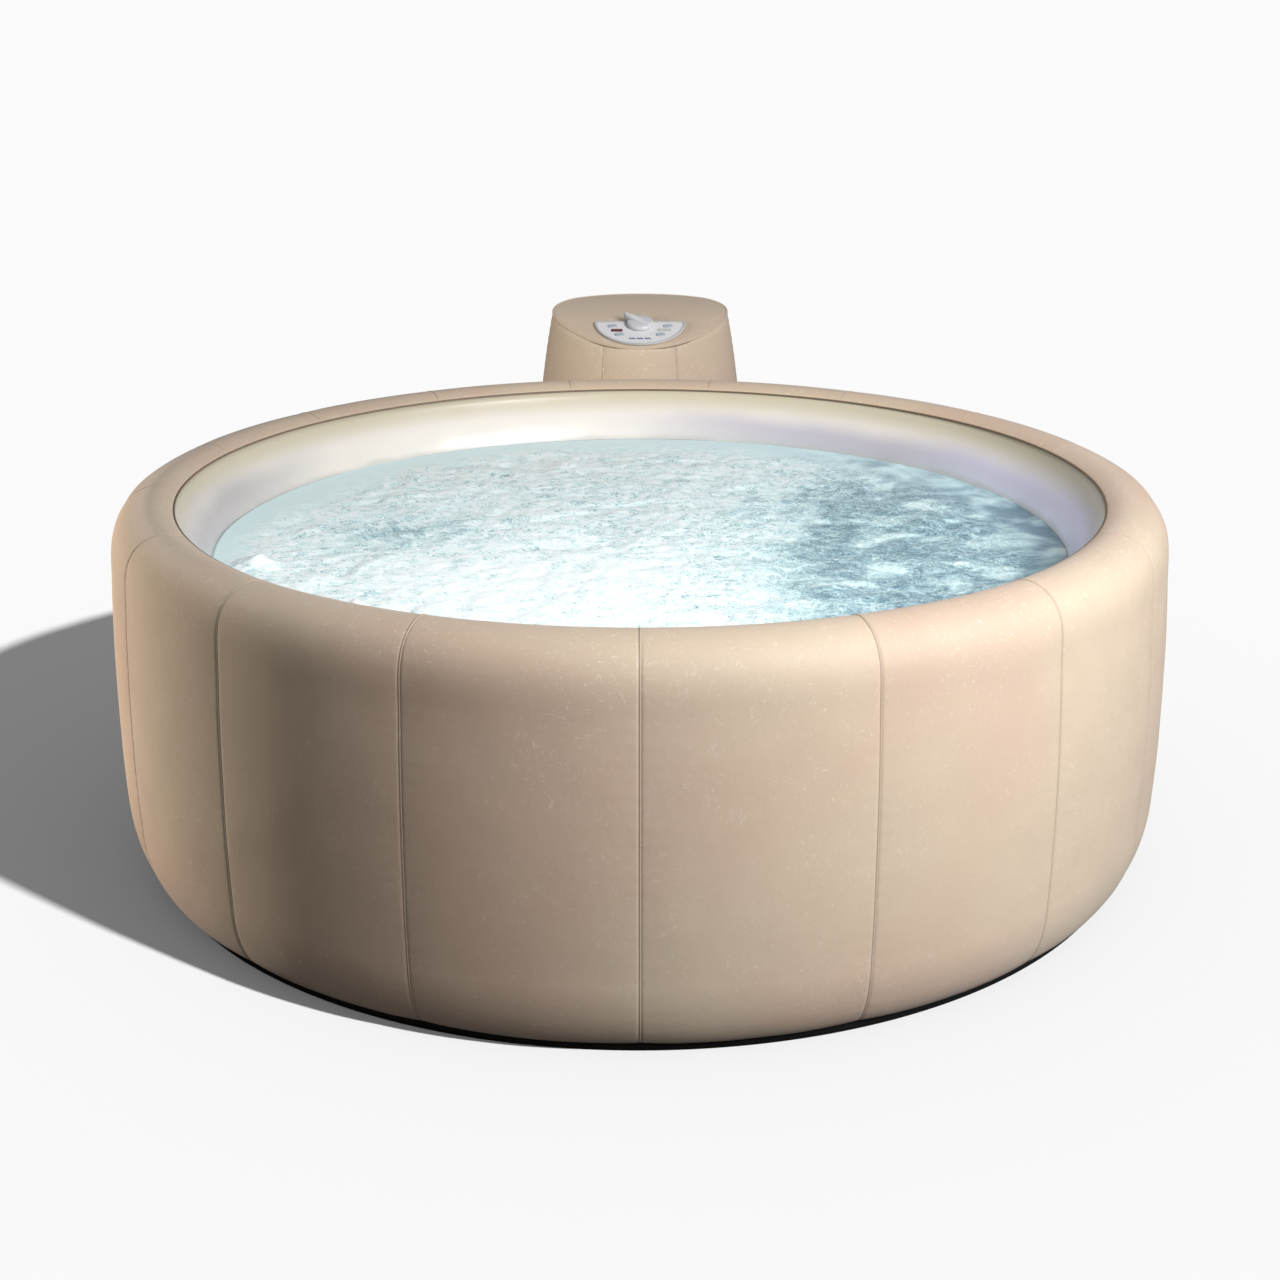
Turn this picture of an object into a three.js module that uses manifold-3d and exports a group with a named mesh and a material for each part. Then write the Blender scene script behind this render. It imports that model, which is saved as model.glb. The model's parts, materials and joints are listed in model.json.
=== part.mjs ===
// A round, foam-walled portable hot tub with a sewn jacket, and the pump pod that stands behind it.
// Millimetres, +Z up. The origin is the centre of the tub's underside, and the pod is at +Y.
import * as THREE from "three";
import { mergeVertices } from "three/addons/utils/BufferGeometryUtils.js";
import Module from "manifold-3d";

// ---------------------------------------------------------------- driving dimensions

const PANELS = 17; // sewn jacket panels, with one seam facing -Y
const ROUND = PANELS * 2; // facets round the tub
const SMALL_ROUND = 12; // facets round a fitting
const GAP = 0.3; // running gap between neighbours

const TUB_HEIGHT = 620; // floor to the top of the rim
const PAD = { radius: 854, thickness: 12 };
const FOOT = { radius: 848, reach: 50, rise: 117 }; // rounded lower edge of the jacket
const WALL = { bulge: 5.5, lean: 8 }; // the jacket wall swells, and leans in towards the rim
const RIM = { reach: 115, drop: 106, power: 3.4 }; // square-shouldered round over the rim
const LIP = { radius: 787, round: 16 }; // inner edge of the rim, where the jacket ends
const WELT = { radius: 785, z: 600, thickness: 5.2 };
const JACKET = { thickness: 2, hem: 800 };
const LINER = { radius: 730, thickness: 1.5, top: 596, wallTop: 480, floor: 50, fillet: 40 };
const FOAM_GAP = 0.5; // foam to jacket, and foam to liner
const WATER_LEVEL = 508;

// Each fitting sits on the middle of a facet of the inner wall, counted from the seam at the back.
const wallFacet = (count) => 90 + Math.sign(count) * (Math.abs(count) - 0.5) * (360 / ROUND);
const FLANGE = { back: 0.3, front: 4 }; // a fitting's flange, in front of the liner
const HOLE_SLACK = 2; // between a pipe and the hole it passes through
const JET = { z: 300, facets: [-8, -4, 4, 8], flange: 38, pipe: 24, length: 62, ball: 17, centre: -3 };
const TRIM_RING = { lobes: 6, valley: 31, lobe: 36, height: 10 };
const NOZZLE = { radius: 8, bore: 5.5, reach: 23 }; // snout of a jet's ball
const MANIFOLD = { radius: 825, tube: 21, wall: 3, duct: 52, stub: 18, from: 8, to: 172 };
const RETURN = { x: 50, z: JET.z, end: 912 }; // the return pipe leaves the manifold towards the pod
const SUCTION = { z: 150, bore: 18, pipe: 22, length: 187, flange: 36 };
const FILTER = { y: 612, radius: 72, floor: 56, top: 300, wall: 4, neck: 21 };
const CAGE_SLOTS = { half: 11, directions: 3, spans: [[74, 122], [186, 282]] };
const FILTER_CAP = { plug: 8, lip: 3, edge: 7, height: 10, bar: [42, 6], barTop: 30 };
const PLEATS = { count: 20, core: 22, valley: 52, crest: 63 };
const DRAIN = { facet: -5, z: 125, bore: 10, pipe: 14, flange: 22, length: 178, valveAt: 212 };
const VALVE = { half: 22, shell: 21, bore: 9, ball: 14, stem: 4, spout: 13, spoutEnd: 48 };
const LEVER = { length: 66, half: 7, hub: 10, from: 27, to: 31 }; // distances up the valve's stem
const LIGHT = { facet: 2, z: 340, can: 29, depth: 40, wall: 2, flange: 42, lens: 26 };

const POD = { y: 1135, width: 500, depth: 406, baseTop: 20, skin: 6, shoulder: 712 };
const POD_TAPER = { amount: 50, power: 2.84 }; // half width lost between the base and the shoulder
const POD_ROUND = 26; // facets round the pod
const SLOPE = THREE.MathUtils.degToRad(19.5);
const PANEL = { y: 1068.7, z: 695.9, radius: 103, corner: 10, rim: 5, ledge: 12, proud: 3.3 };
const BOARD = { inset: 24, depth: 20, thickness: 1.6 };
// The crown follows the panel's slope up to slopeEnd, then eases into the flat back.
const CROWN = { slopeEnd: 1095, bendAt: 1150, flatFrom: 1230, flatZ: 727, backY: 1400, backZ: 724 };
const HOSE_ARCH = { x: [-45, 95], y: [900, 1000], z: [0, 345] }; // way in for both hoses
const POD_FEET = { x: 150, y: 110, radius: 18, height: 10 };
const TRAY_BOTTOM = 8;
const KNOB = { y: -16, radius: 30, tip: 39, tail: -24, fin: 13, pointing: THREE.MathUtils.degToRad(155) };
const AIR_VALVE = { nipple: 6, body: 18, from: -76, shoulder: -60, top: -22 };
const BUTTON = { length: 10, width: 6.5, back: -6, front: 5, slack: 0.8 }; // half length, half width
const BUTTONS = {
  button_warmer: [-62, -21],
  button_cooler: [-46, -59],
  button_jets: [62, -21],
  button_light: [46, -59],
};
const WINDOWS = { led_display: [-52, -40, 25, 11], status_window: [54, -39, 28, 12] };

// Pump and motor share one axis, parallel to Y at the height of the suction pipe.
const PUMP = { inletY: 985, frontY: 1005, backY: 1055, radius: 72, wall: 6, outlet: 18, outletZ: 232 };
const MOTOR = { frontY: 1068, backY: 1262, radius: 72, wall: 8, core: 48, bearing: 9.5 };
const SHAFT = { radius: 8, frontY: 1018, backY: 1286 };
const ROTOR_CORE = { radius: 44, frontY: 1092, backY: 1238 };
const IMPELLER = { radius: 56, hub: 15, vanes: 6, frontY: 1022, discY: 1036, backY: 1046 };
const FAN = { radius: 60, hub: 18, blades: 7, frontY: 1266, backY: 1286 };
const FAN_COVER = { radius: 71, wall: 4, length: 34, opening: 24 };
const HEAT_JACKET = { bore: 74.5, tube: 80, ring: 90, y: [1086, 1244], rings: [1098, 1172], ringWidth: 60 };
const BRACKET = { x: 62, y: [1110, 1220], top: 110, saddle: 93 };
const POWER_BOX = { x: [108, 178], y: [1090, 1225], top: 210 };
const HOSE = { suction: 21.5, return: 18.5, wall: 3.5, frontY: 913, bendY: 970 };
const UNION_NUT = { radius: 32, y: [905, 925] };
const CORD = { radius: 4.2, lyingZ: 5 };
const PLUG = { x: 300, y: [1252, 1300], half: 24, top: 30, pinGap: 16, pin: 6, pinLength: 16 };

// ---------------------------------------------------------------- materials

const material = (color, roughness = 0.6, metalness = 0) =>
  new THREE.MeshStandardMaterial({ color, roughness, metalness });
const LEATHERETTE = material("#c9b096", 0.55);
const WELT_CORD = material("#8a735a", 0.5);
const PEARL_VINYL = material("#ece6da", 0.3);
const FOAM = material("#d8d6cf", 0.95);
const BLACK_MAT = material("#0c0c0c", 0.9);
const WATER = material("#b9dde3", 0.05);
const WHITE_PLASTIC = material("#e9eaea", 0.35);
const GREY_PLASTIC = material("#b9bcc0", 0.4);
const DARK_PLASTIC = material("#2b2d30", 0.6);
const FILTER_PAPER = material("#eef1f3", 0.9);
const RUBBER = material("#1b1b1c", 0.8);
const STEEL = material("#a8acb0", 0.35, 1);
const ALUMINIUM = material("#c3c6c8", 0.4, 1);
const RED_LENS = material("#6e1518", 0.2);
const PALE_LENS = material("#d5dccb", 0.2);
const BOARD_GREEN = material("#1f5b3a", 0.5);

// ---------------------------------------------------------------- solids and outlines

const wasm = await Module();
wasm.setup();

function toSolid(geometry) {
  const loose = geometry.index ? geometry.toNonIndexed() : geometry;
  const bare = new THREE.BufferGeometry().setAttribute("position", loose.getAttribute("position"));
  const merged = mergeVertices(bare, 1e-3);
  const vertProperties = merged.attributes.position.array;
  const triVerts = new Uint32Array(merged.index.array);
  return new wasm.Manifold(new wasm.Mesh({ numProp: 3, vertProperties, triVerts }));
}

function toGeometry(solid) {
  const mesh = solid.getMesh();
  const position = new Float32Array(mesh.numVert * 3);
  for (let i = 0; i < mesh.numVert; i++) {
    position.set(mesh.vertProperties.subarray(i * mesh.numProp, i * mesh.numProp + 3), i * 3);
  }
  const geometry = new THREE.BufferGeometry();
  geometry.setAttribute("position", new THREE.BufferAttribute(position, 3));
  geometry.setIndex(new THREE.BufferAttribute(new Uint32Array(mesh.triVerts), 1));
  return geometry;
}

const combine = (method, first, others) =>
  toGeometry(others.reduce((solid, other) => solid[method](toSolid(other)), toSolid(first)));
const cut = (body, ...tools) => combine("subtract", body, tools);
const join = (body, ...extras) => combine("add", body, extras);
const common = (body, ...others) => combine("intersect", body, others);

// A body turned about +Z from an outline of [radius, z] points, in either direction. An outline that
// starts off the axis is closed back to its first point.
function turned(outline, segments = SMALL_ROUND) {
  const points = outline.map(([radius, z]) => new THREE.Vector2(radius, z));
  if (THREE.ShapeUtils.isClockWise(points)) points.reverse();
  if (points[0].x > 0 || points.at(-1).x > 0) points.push(points[0].clone());
  return new THREE.LatheGeometry(points, segments).rotateX(Math.PI / 2);
}

const tube = (inner, outer, from, to, segments) =>
  turned([[inner, from], [outer, from], [outer, to], [inner, to]], segments);
const rod = (radius, from, to, segments) =>
  turned([[0, from], [radius, from], [radius, to], [0, to]], segments);
const box = ([x0, x1], [y0, y1], [z0, z1]) =>
  new THREE.BoxGeometry(x1 - x0, y1 - y0, z1 - z0)
    .translate((x0 + x1) / 2, (y0 + y1) / 2, (z0 + z1) / 2);
const alongY = (geometry, x, z) => geometry.rotateX(-Math.PI / 2).translate(x, 0, z);

// Points on an ellipse, or on a squarer curve when power is above 2.
function arc([x, y], [rx, ry], from, to, steps, power = 2) {
  const bend = (v) => Math.sign(v) * Math.abs(v) ** (2 / power);
  return Array.from({ length: steps + 1 }, (_, i) => {
    const angle = THREE.MathUtils.degToRad(from + ((to - from) * i) / steps);
    return [x + rx * bend(Math.cos(angle)), y + ry * bend(Math.sin(angle))];
  });
}

// The outline moved to its left by distance, each corner mitred.
function offset(outline, distance) {
  const points = outline.map(([x, y]) => new THREE.Vector2(x, y));
  return points.map((point, i) => {
    const before = points[Math.max(i - 1, 0)];
    const after = points[Math.min(i + 1, points.length - 1)];
    const into = point.clone().sub(before).normalize();
    const out = after.clone().sub(point).normalize();
    if (i === 0) into.copy(out);
    if (i === points.length - 1) out.copy(into);
    const normal = new THREE.Vector2(-into.y - out.y, into.x + out.x).normalize();
    const mitre = distance / Math.max(normal.dot(new THREE.Vector2(-into.y, into.x)), 0.5);
    return [point.x + normal.x * mitre, point.y + normal.y * mitre];
  });
}

function piece(name, geometry, finish) {
  const mesh = new THREE.Mesh(geometry, finish);
  mesh.name = name;
  return mesh;
}

function group(...children) {
  return new THREE.Group().add(...children);
}

// Frame of a fitting on the inner wall: local +Z points at the tub's axis, and +Y points up.
function wallFrame(angle, z, radius = LINER.radius * Math.cos(Math.PI / ROUND)) {
  const a = THREE.MathUtils.degToRad(angle);
  const outward = new THREE.Vector3(Math.cos(a), Math.sin(a), 0);
  const up = new THREE.Vector3(0, 0, 1);
  const inward = outward.clone().negate();
  const across = up.clone().cross(inward);
  const frame = new THREE.Matrix4().makeBasis(across, up, inward);
  return frame.setPosition(outward.multiplyScalar(radius).setZ(z));
}

const placed = (object, frame) => {
  object.applyMatrix4(frame);
  return object;
};

// ---------------------------------------------------------------- tub section

// Outer face of the jacket: hem, rounded foot, wall, rim and lip.
function jacketFace() {
  const underside = PAD.thickness + GAP;
  const footTop = underside + FOOT.rise;
  const rimFoot = TUB_HEIGHT - RIM.drop;
  const wallFoot = FOOT.radius + FOOT.reach;
  const foot = arc([FOOT.radius, footTop], [FOOT.reach, FOOT.rise], -90, 0, 3);
  const wall = [0.33, 0.67].map((t) => [
    wallFoot - WALL.lean * t + WALL.bulge * 4 * t * (1 - t),
    footTop + (rimFoot - footTop) * t,
  ]);
  const rimCentre = [wallFoot - WALL.lean - RIM.reach, rimFoot];
  const rim = arc(rimCentre, [RIM.reach, RIM.drop], 0, 82, 5, RIM.power);
  const lipCentre = [LIP.radius + LIP.round, TUB_HEIGHT - LIP.round];
  const lip = arc(lipCentre, [LIP.round, LIP.round], 90, 180, 2);
  return [[JACKET.hem, underside], ...foot, ...wall, ...rim, ...lip];
}

// Wetted face of the liner: shoulder, wall, fillet and floor, ending on the axis.
function linerFace() {
  const shoulder = new THREE.CubicBezierCurve(
    new THREE.Vector2(LIP.radius - 1, LINER.top),
    new THREE.Vector2(LIP.radius - 11, LINER.top - 36),
    new THREE.Vector2(LINER.radius + 2, LINER.top - 48),
    new THREE.Vector2(LINER.radius, LINER.wallTop),
  );
  const corner = [LINER.radius - LINER.fillet, LINER.floor + LINER.fillet];
  return [
    ...shoulder.getPoints(3).map((p) => [p.x, p.y]),
    ...arc(corner, [LINER.fillet, LINER.fillet], 0, -90, 2),
    [0, LINER.floor],
  ];
}

// Both ends of an outline and every second point between them. A chord of a convex face lies
// inside it, so whatever is cut to this coarser face clears the finer one.
const coarser = (outline) => outline.filter((_, i) => i % 2 === 0 || i === outline.length - 1);

function jacketOutline() {
  const face = jacketFace();
  return [...face, ...coarser(offset(face, JACKET.thickness)).reverse()];
}

function linerOutline() {
  const face = linerFace();
  return [...face, ...offset(face, LINER.thickness).reverse()];
}

function foamOutline() {
  const underside = PAD.thickness + GAP + JACKET.thickness + FOAM_GAP;
  const outside = coarser(offset(jacketFace(), JACKET.thickness + FOAM_GAP));
  const inside = offset(linerFace(), LINER.thickness + FOAM_GAP)
    .filter(([, z]) => z > LINER.floor + LINER.fillet - 1);
  return [...outside, ...inside, [inside.at(-1)[0], underside]];
}

function waterOutline() {
  const face = offset(linerFace(), -1);
  const below = face.filter(([, z]) => z < WATER_LEVEL);
  const surfaceRadius = LINER.radius - 1 + (WATER_LEVEL - LINER.wallTop) * 0.02;
  return [[0, WATER_LEVEL], [surfaceRadius, WATER_LEVEL], ...below];
}

// ---------------------------------------------------------------- tub

// Round hole for a pipe or a lamp, from `inner` in front of its wall frame out to `outer` behind it.
const hole = (frame, radius, inner = 60, outer = 260) =>
  rod(radius + HOLE_SLACK, -outer, inner).applyMatrix4(frame);

const jetFrames = JET.facets.map((facet) => wallFrame(wallFacet(facet), JET.z));
const suctionFrame = wallFrame(90, SUCTION.z);
const returnPipe = (radius, from, to) => alongY(rod(radius, from, to), RETURN.x, RETURN.z);
const returnHole = () => returnPipe(MANIFOLD.stub + HOLE_SLACK, MANIFOLD.radius + 15, RETURN.end + 48);
const drainFrame = wallFrame(wallFacet(DRAIN.facet), DRAIN.z);
const lightFrame = wallFrame(wallFacet(LIGHT.facet), LIGHT.z);

const MANIFOLD_STEPS = 12;
const PIPE_SIDES = 8;

// The manifold's arc through the foam, with both ends moved out by `extra` degrees.
class ManifoldPath extends THREE.Curve {
  constructor(extra = 0) {
    super();
    this.from = MANIFOLD.from - extra;
    this.to = MANIFOLD.to + extra;
  }

  getPoint(t, target = new THREE.Vector3()) {
    const a = THREE.MathUtils.degToRad(THREE.MathUtils.lerp(this.from, this.to, t));
    return target.set(MANIFOLD.radius * Math.cos(a), MANIFOLD.radius * Math.sin(a), JET.z);
  }
}

const vectors = (points) => points.map(([x, y]) => new THREE.Vector2(x, y));

// Points at equal angles, each at the radius its number gives.
const star = (count, radiusOf) => Array.from({ length: count }, (_, i) => {
  const angle = (i * 2 * Math.PI) / count;
  return new THREE.Vector2(radiusOf(i) * Math.cos(angle), radiusOf(i) * Math.sin(angle));
});
const circle = (radius, sides, x = 0, y = 0) =>
  new THREE.Path(vectors(arc([x, y], [radius, radius], 0, 360, sides).slice(0, -1)));

function ring(outer, inner, sides) {
  const shape = new THREE.Shape(circle(outer, sides).getPoints());
  if (inner) shape.holes.push(circle(inner, sides));
  return shape;
}

const sweep = (shape, path, steps) =>
  new THREE.ExtrudeGeometry(shape, { extrudePath: path, steps, curveSegments: 3 });

function manifoldDuct() {
  const half = MANIFOLD.duct / 2;
  const square = vectors([[-half, -half], [half, -half], [half, half], [-half, half]]);
  return sweep(new THREE.Shape(square), new ManifoldPath(2), MANIFOLD_STEPS);
}

function jetManifold() {
  const { radius, tube: outer, wall, stub } = MANIFOLD;
  const pipe = sweep(ring(outer, 0, PIPE_SIDES), new ManifoldPath(), MANIFOLD_STEPS);
  const bore = sweep(ring(outer - wall, 0, PIPE_SIDES), new ManifoldPath(-0.3), MANIFOLD_STEPS);
  const depth = radius - LINER.radius;
  const stubs = jetFrames.map((frame) => rod(stub, -depth, -30).applyMatrix4(frame));
  const stubBores = jetFrames.map((frame) => rod(stub - wall, -depth, -20).applyMatrix4(frame));
  const whole = join(pipe, ...stubs, returnPipe(stub, radius, RETURN.end));
  return cut(whole, bore, ...stubBores, returnPipe(stub - wall, radius, RETURN.end + 8));
}

function foamWall() {
  return cut(
    turned(foamOutline(), ROUND),
    manifoldDuct(),
    ...jetFrames.map((frame) => hole(frame, JET.pipe, 20, JET.length + 18)),
    hole(suctionFrame, SUCTION.pipe),
    returnHole(),
    hole(drainFrame, DRAIN.pipe),
    hole(lightFrame, LIGHT.can, 20, LIGHT.depth + 5),
  );
}

function outerJacket() {
  return cut(
    turned(jacketOutline(), ROUND),
    hole(suctionFrame, SUCTION.pipe, -100),
    returnHole(),
    hole(drainFrame, DRAIN.pipe, -100),
  );
}

function liner() {
  return cut(
    turned(linerOutline(), ROUND),
    ...jetFrames.map((frame) => hole(frame, JET.pipe, 30, 30)),
    hole(suctionFrame, SUCTION.pipe, 30, 30),
    hole(drainFrame, DRAIN.pipe, 30, 30),
    hole(lightFrame, LIGHT.can, 30, 30),
  );
}

// The fill, with a clear pocket round each fitting and a clear shaft over the filter.
function water() {
  return cut(
    turned(waterOutline(), ROUND),
    ...jetFrames.map((frame) => hole(frame, JET.flange + 3, 42, 20)),
    hole(suctionFrame, SUCTION.flange + 7, 40, 20),
    hole(drainFrame, DRAIN.flange + 3, 14, 20),
    hole(lightFrame, LIGHT.flange + 2, 22, 20),
    rod(FILTER.radius + 8, 40, WATER_LEVEL + 20, 20).translate(0, FILTER.y, 0),
  );
}

function tubShell() {
  const weltProfile = arc([WELT.radius, WELT.z], [WELT.thickness / 2, WELT.thickness / 2], 0, 270, 3);
  const floorTop = LINER.floor - LINER.thickness - FOAM_GAP;
  return group(
    piece("ground_pad", rod(PAD.radius, 0, PAD.thickness, ROUND), BLACK_MAT),
    piece("foam_wall", foamWall(), FOAM),
    piece("foam_floor", rod(LINER.radius + 1.2, PAD.thickness + GAP, floorTop, ROUND), FOAM),
    piece("outer_jacket", outerJacket(), LEATHERETTE),
    piece("liner", liner(), PEARL_VINYL),
    piece("rim_welt", turned(weltProfile, ROUND), WELT_CORD),
    piece("water", water(), WATER),
    piece("jet_manifold", jetManifold(), WHITE_PLASTIC),
  );
}

// ---------------------------------------------------------------- wall fittings

// Wall fitting that carries the jet: pipe, seat for the ball, and flange.
function jetBody() {
  const seat = JET.ball - 2;
  const bore = JET.ball + 1.2;
  const { back, front } = FLANGE;
  const socket = MANIFOLD.stub + 1;
  const end = -JET.length;
  return turned([
    [seat, -26], [seat, -13], [bore, -11], [bore, front], [JET.flange, front], [JET.flange, back],
    [JET.pipe, back], [JET.pipe, end], [socket, end], [socket, -26],
  ]);
}

// Six-lobed ring that is turned by hand to open and close the jet, and keeps the ball in its seat.
function jetTrimRing() {
  const { lobes, valley, lobe, height } = TRIM_RING;
  const shape = new THREE.Shape(star(lobes * 3, (i) => (i % 3 === 0 ? valley : lobe)));
  shape.holes.push(circle(JET.ball - 1, 14));
  return plate(shape, FLANGE.front + GAP, FLANGE.front + height);
}

// Ball nozzle, centred on its own origin.
function jetEyeball() {
  const ball = new THREE.SphereGeometry(JET.ball, 12, 7).rotateX(Math.PI / 2);
  const { radius, bore, reach } = NOZZLE;
  return cut(join(ball, rod(radius, 0, reach, 10)), rod(bore, -30, 30, 8));
}

function jet(frame, number) {
  const eyeball = piece(`jet_${number}_eyeball`, jetEyeball(), GREY_PLASTIC);
  eyeball.position.z = JET.centre;
  return placed(group(
    piece(`jet_${number}_body`, jetBody(), WHITE_PLASTIC),
    piece(`jet_${number}_trim_ring`, jetTrimRing(), WHITE_PLASTIC),
    eyeball,
  ), frame);
}

function suctionFitting() {
  const { back, front } = FLANGE;
  const { bore, pipe, length, flange } = SUCTION;
  return turned([
    [bore, -length], [pipe, -length], [pipe, back], [flange, back], [flange, front], [bore, front],
  ], 14);
}

// Slotted basket that holds the cartridge, joined to the suction fitting by a short neck.
function filterCage() {
  const { radius, wall, floor, top, y } = FILTER;
  const basket = turned([
    [0, floor], [radius, floor], [radius, top], [radius - wall, top],
    [radius - wall, floor + wall], [0, floor + wall],
  ], 18);
  const neckEnd = LINER.radius * Math.cos(Math.PI / ROUND) - FLANGE.front - GAP - y;
  const neck = alongY(rod(FILTER.neck, radius - 6, neckEnd), 0, SUCTION.z);
  const neckBore = alongY(rod(FILTER.neck - wall, radius - 12, neckEnd + 5), 0, SUCTION.z);
  const { half, directions, spans } = CAGE_SLOTS;
  const slots = spans.flatMap((span) => Array.from({ length: directions }, (_, i) =>
    box([-100, 100], [-half, half], span).rotateZ((i * Math.PI) / directions)));
  return cut(join(basket, neck), neckBore, ...slots).translate(0, y, 0);
}

// Pleated paper round a core, standing in the basket.
function filterCartridge() {
  const { count, core, valley, crest } = PLEATS;
  const shape = new THREE.Shape(star(count * 2, (i) => (i % 2 ? valley : crest)));
  shape.holes.push(circle(core, 12));
  const bottom = FILTER.floor + FILTER.wall + 2;
  return plate(shape, bottom, FILTER.top - 10).translate(0, FILTER.y, 0);
}

// Twist-lock cap with a finger bar.
function filterCap() {
  const { radius, wall, top, y } = FILTER;
  const { plug, lip, edge, height, bar: [length, width], barTop } = FILTER_CAP;
  const inside = radius - wall - 2;
  const lid = turned([
    [0, top - plug], [inside, top - plug], [inside, top + GAP], [radius + lip, top + GAP],
    [radius + lip, top + edge], [radius - lip, top + height], [0, top + height],
  ], 18);
  const bar = box([-length, length], [-width, width], [top + height - 1, top + barTop]);
  return join(lid, bar).translate(0, y, 0);
}

function drainPipe() {
  const { back, front } = FLANGE;
  const { bore, pipe, length, flange } = DRAIN;
  return turned([
    [bore, -length], [pipe, -length], [pipe, back], [flange, back], [flange, front], [bore, front],
  ]);
}

// Ball valve on the outer end of the drain pipe, with a stub for a garden hose.
function drainValveBody() {
  const { half, shell: radius, bore, ball, stem, spout, spoutEnd } = VALVE;
  const pipeEnd = DRAIN.valveAt - DRAIN.length - 0.5;
  const shell = turned([
    [0, -spoutEnd], [spout, -spoutEnd], [spout, -half - 2], [radius, -half], [radius, half],
    [DRAIN.pipe + 4, pipeEnd], [0, pipeEnd],
  ]);
  const bonnet = rod(stem + 5, 0, 25, 10).rotateX(-Math.PI / 2);
  const cavity = new THREE.SphereGeometry(ball + 2, 10, 7);
  const stemHole = rod(stem + 1.2, 0, 40, 8).rotateX(-Math.PI / 2);
  const through = rod(bore, -60, 60, 10);
  return cut(join(shell, bonnet), through, cavity, stemHole).translate(0, 0, -DRAIN.valveAt);
}

// Quarter-turn lever and its stem, across the pipe when the valve is shut.
function drainLever() {
  const { length, half, hub: hubRadius, from, to } = LEVER;
  const stem = rod(VALVE.stem, VALVE.ball + 0.8, to, 8).rotateX(-Math.PI / 2);
  const hub = rod(hubRadius, from - 1, to + 1, 10).rotateX(-Math.PI / 2);
  const arm = box([0, length], [from, to], [-half, half]);
  return join(stem, hub, arm).translate(0, 0, -DRAIN.valveAt);
}

function drainBall() {
  const ball = new THREE.SphereGeometry(VALVE.ball, 10, 7);
  const bore = rod(VALVE.bore, -20, 20, 10).rotateY(Math.PI / 2);
  return cut(ball, bore).translate(0, 0, -DRAIN.valveAt);
}

function lightHousing() {
  const { back, front } = FLANGE;
  const { can, depth, wall, flange } = LIGHT;
  const inside = can - wall;
  return turned([
    [0, -depth], [can, -depth], [can, back], [flange, back], [flange, front], [inside, front],
    [inside, wall + 1 - depth], [0, wall + 1 - depth],
  ], 14);
}

const lightLens = () => turned([[0, -2], [LIGHT.lens, -2], [LIGHT.lens, 5], [18, 9], [0, 11]], 14);

// ---------------------------------------------------------------- pod

const podHalfWidth = (z) =>
  POD.width / 2 - POD_TAPER.amount * (z / POD.shoulder) ** POD_TAPER.power;

// Oval body that narrows towards its shoulder and runs on above the crown, taken in by skin.
function podForm(skin, bottom) {
  const top = CROWN.flatZ + 33;
  const heights = [0, 0.3, 0.55, 0.72, 0.87, 1].map((t) => bottom + (top - bottom) * t);
  const side = heights.map((z) => [podHalfWidth(z) - skin, z]);
  const form = turned([[0, bottom], ...side, [0, top]], POD_ROUND);
  const oval = (POD.depth / 2 - skin) / (POD.width / 2 - skin);
  return form.scale(1, oval, 1).translate(0, POD.y, 0);
}

// Everything under the pod's crown, lowered by drop.
function underCrown(drop) {
  const { slopeEnd, bendAt, flatFrom, flatZ, backY, backZ } = CROWN;
  const frontY = POD.y - POD.depth / 2 - 52;
  const onSlope = (y) => PANEL.z + (y - PANEL.y) * Math.tan(SLOPE) - drop;
  const crown = new THREE.Shape();
  crown.moveTo(frontY, 0);
  crown.lineTo(frontY, onSlope(frontY));
  crown.lineTo(slopeEnd, onSlope(slopeEnd));
  crown.quadraticCurveTo(bendAt, onSlope(bendAt), flatFrom, flatZ - drop);
  crown.lineTo(backY, backZ - drop);
  crown.lineTo(backY, 0);
  const depth = POD.width + 100;
  const slab = new THREE.ExtrudeGeometry(crown, { depth, bevelEnabled: false, curveSegments: 4 });
  const turn = new THREE.Matrix4().makeBasis(
    new THREE.Vector3(0, 1, 0), new THREE.Vector3(0, 0, 1), new THREE.Vector3(1, 0, 0),
  );
  return slab.applyMatrix4(turn).translate(-depth / 2, 0, 0);
}

const panelFrame = new THREE.Matrix4().makeRotationX(SLOPE).setPosition(0, PANEL.y, PANEL.z);

// Half disc below a straight top edge, with rounded corners, taken in from its outline by inset.
function halfDisc(inset) {
  const radius = PANEL.radius - inset;
  const start = Math.asin((PANEL.corner + inset) / radius);
  const shape = new THREE.Shape();
  shape.moveTo(-radius + PANEL.corner, -inset);
  shape.quadraticCurveTo(-radius, -inset, -radius * Math.cos(start), -radius * Math.sin(start));
  shape.absarc(0, 0, radius, Math.PI + start, 2 * Math.PI - start);
  shape.quadraticCurveTo(radius, -inset, radius - PANEL.corner, -inset);
  return shape;
}

const plate = (shape, from, to) =>
  new THREE.ExtrudeGeometry(shape, { depth: to - from, bevelEnabled: false, curveSegments: 5 })
    .translate(0, 0, from);

function hoodShell() {
  const bottom = POD.baseTop + GAP;
  const skin = cut(podForm(0, bottom), podForm(POD.skin, bottom - 1));
  const hoseArch = box(HOSE_ARCH.x, HOSE_ARCH.y, HOSE_ARCH.z);
  return cut(common(skin, underCrown(POD.skin + GAP)), hoseArch);
}

function hoodTop() {
  const wellBelow = POD.shoulder - 212;
  const slab = cut(common(podForm(0, wellBelow), underCrown(0)), underCrown(POD.skin));
  const opening = plate(halfDisc(PANEL.ledge), -30, 30).applyMatrix4(panelFrame);
  return cut(slab, opening);
}

function panelBezel() {
  const outline = halfDisc(0);
  outline.holes.push(halfDisc(PANEL.rim));
  return plate(outline, GAP, PANEL.proud + 1.2);
}

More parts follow.
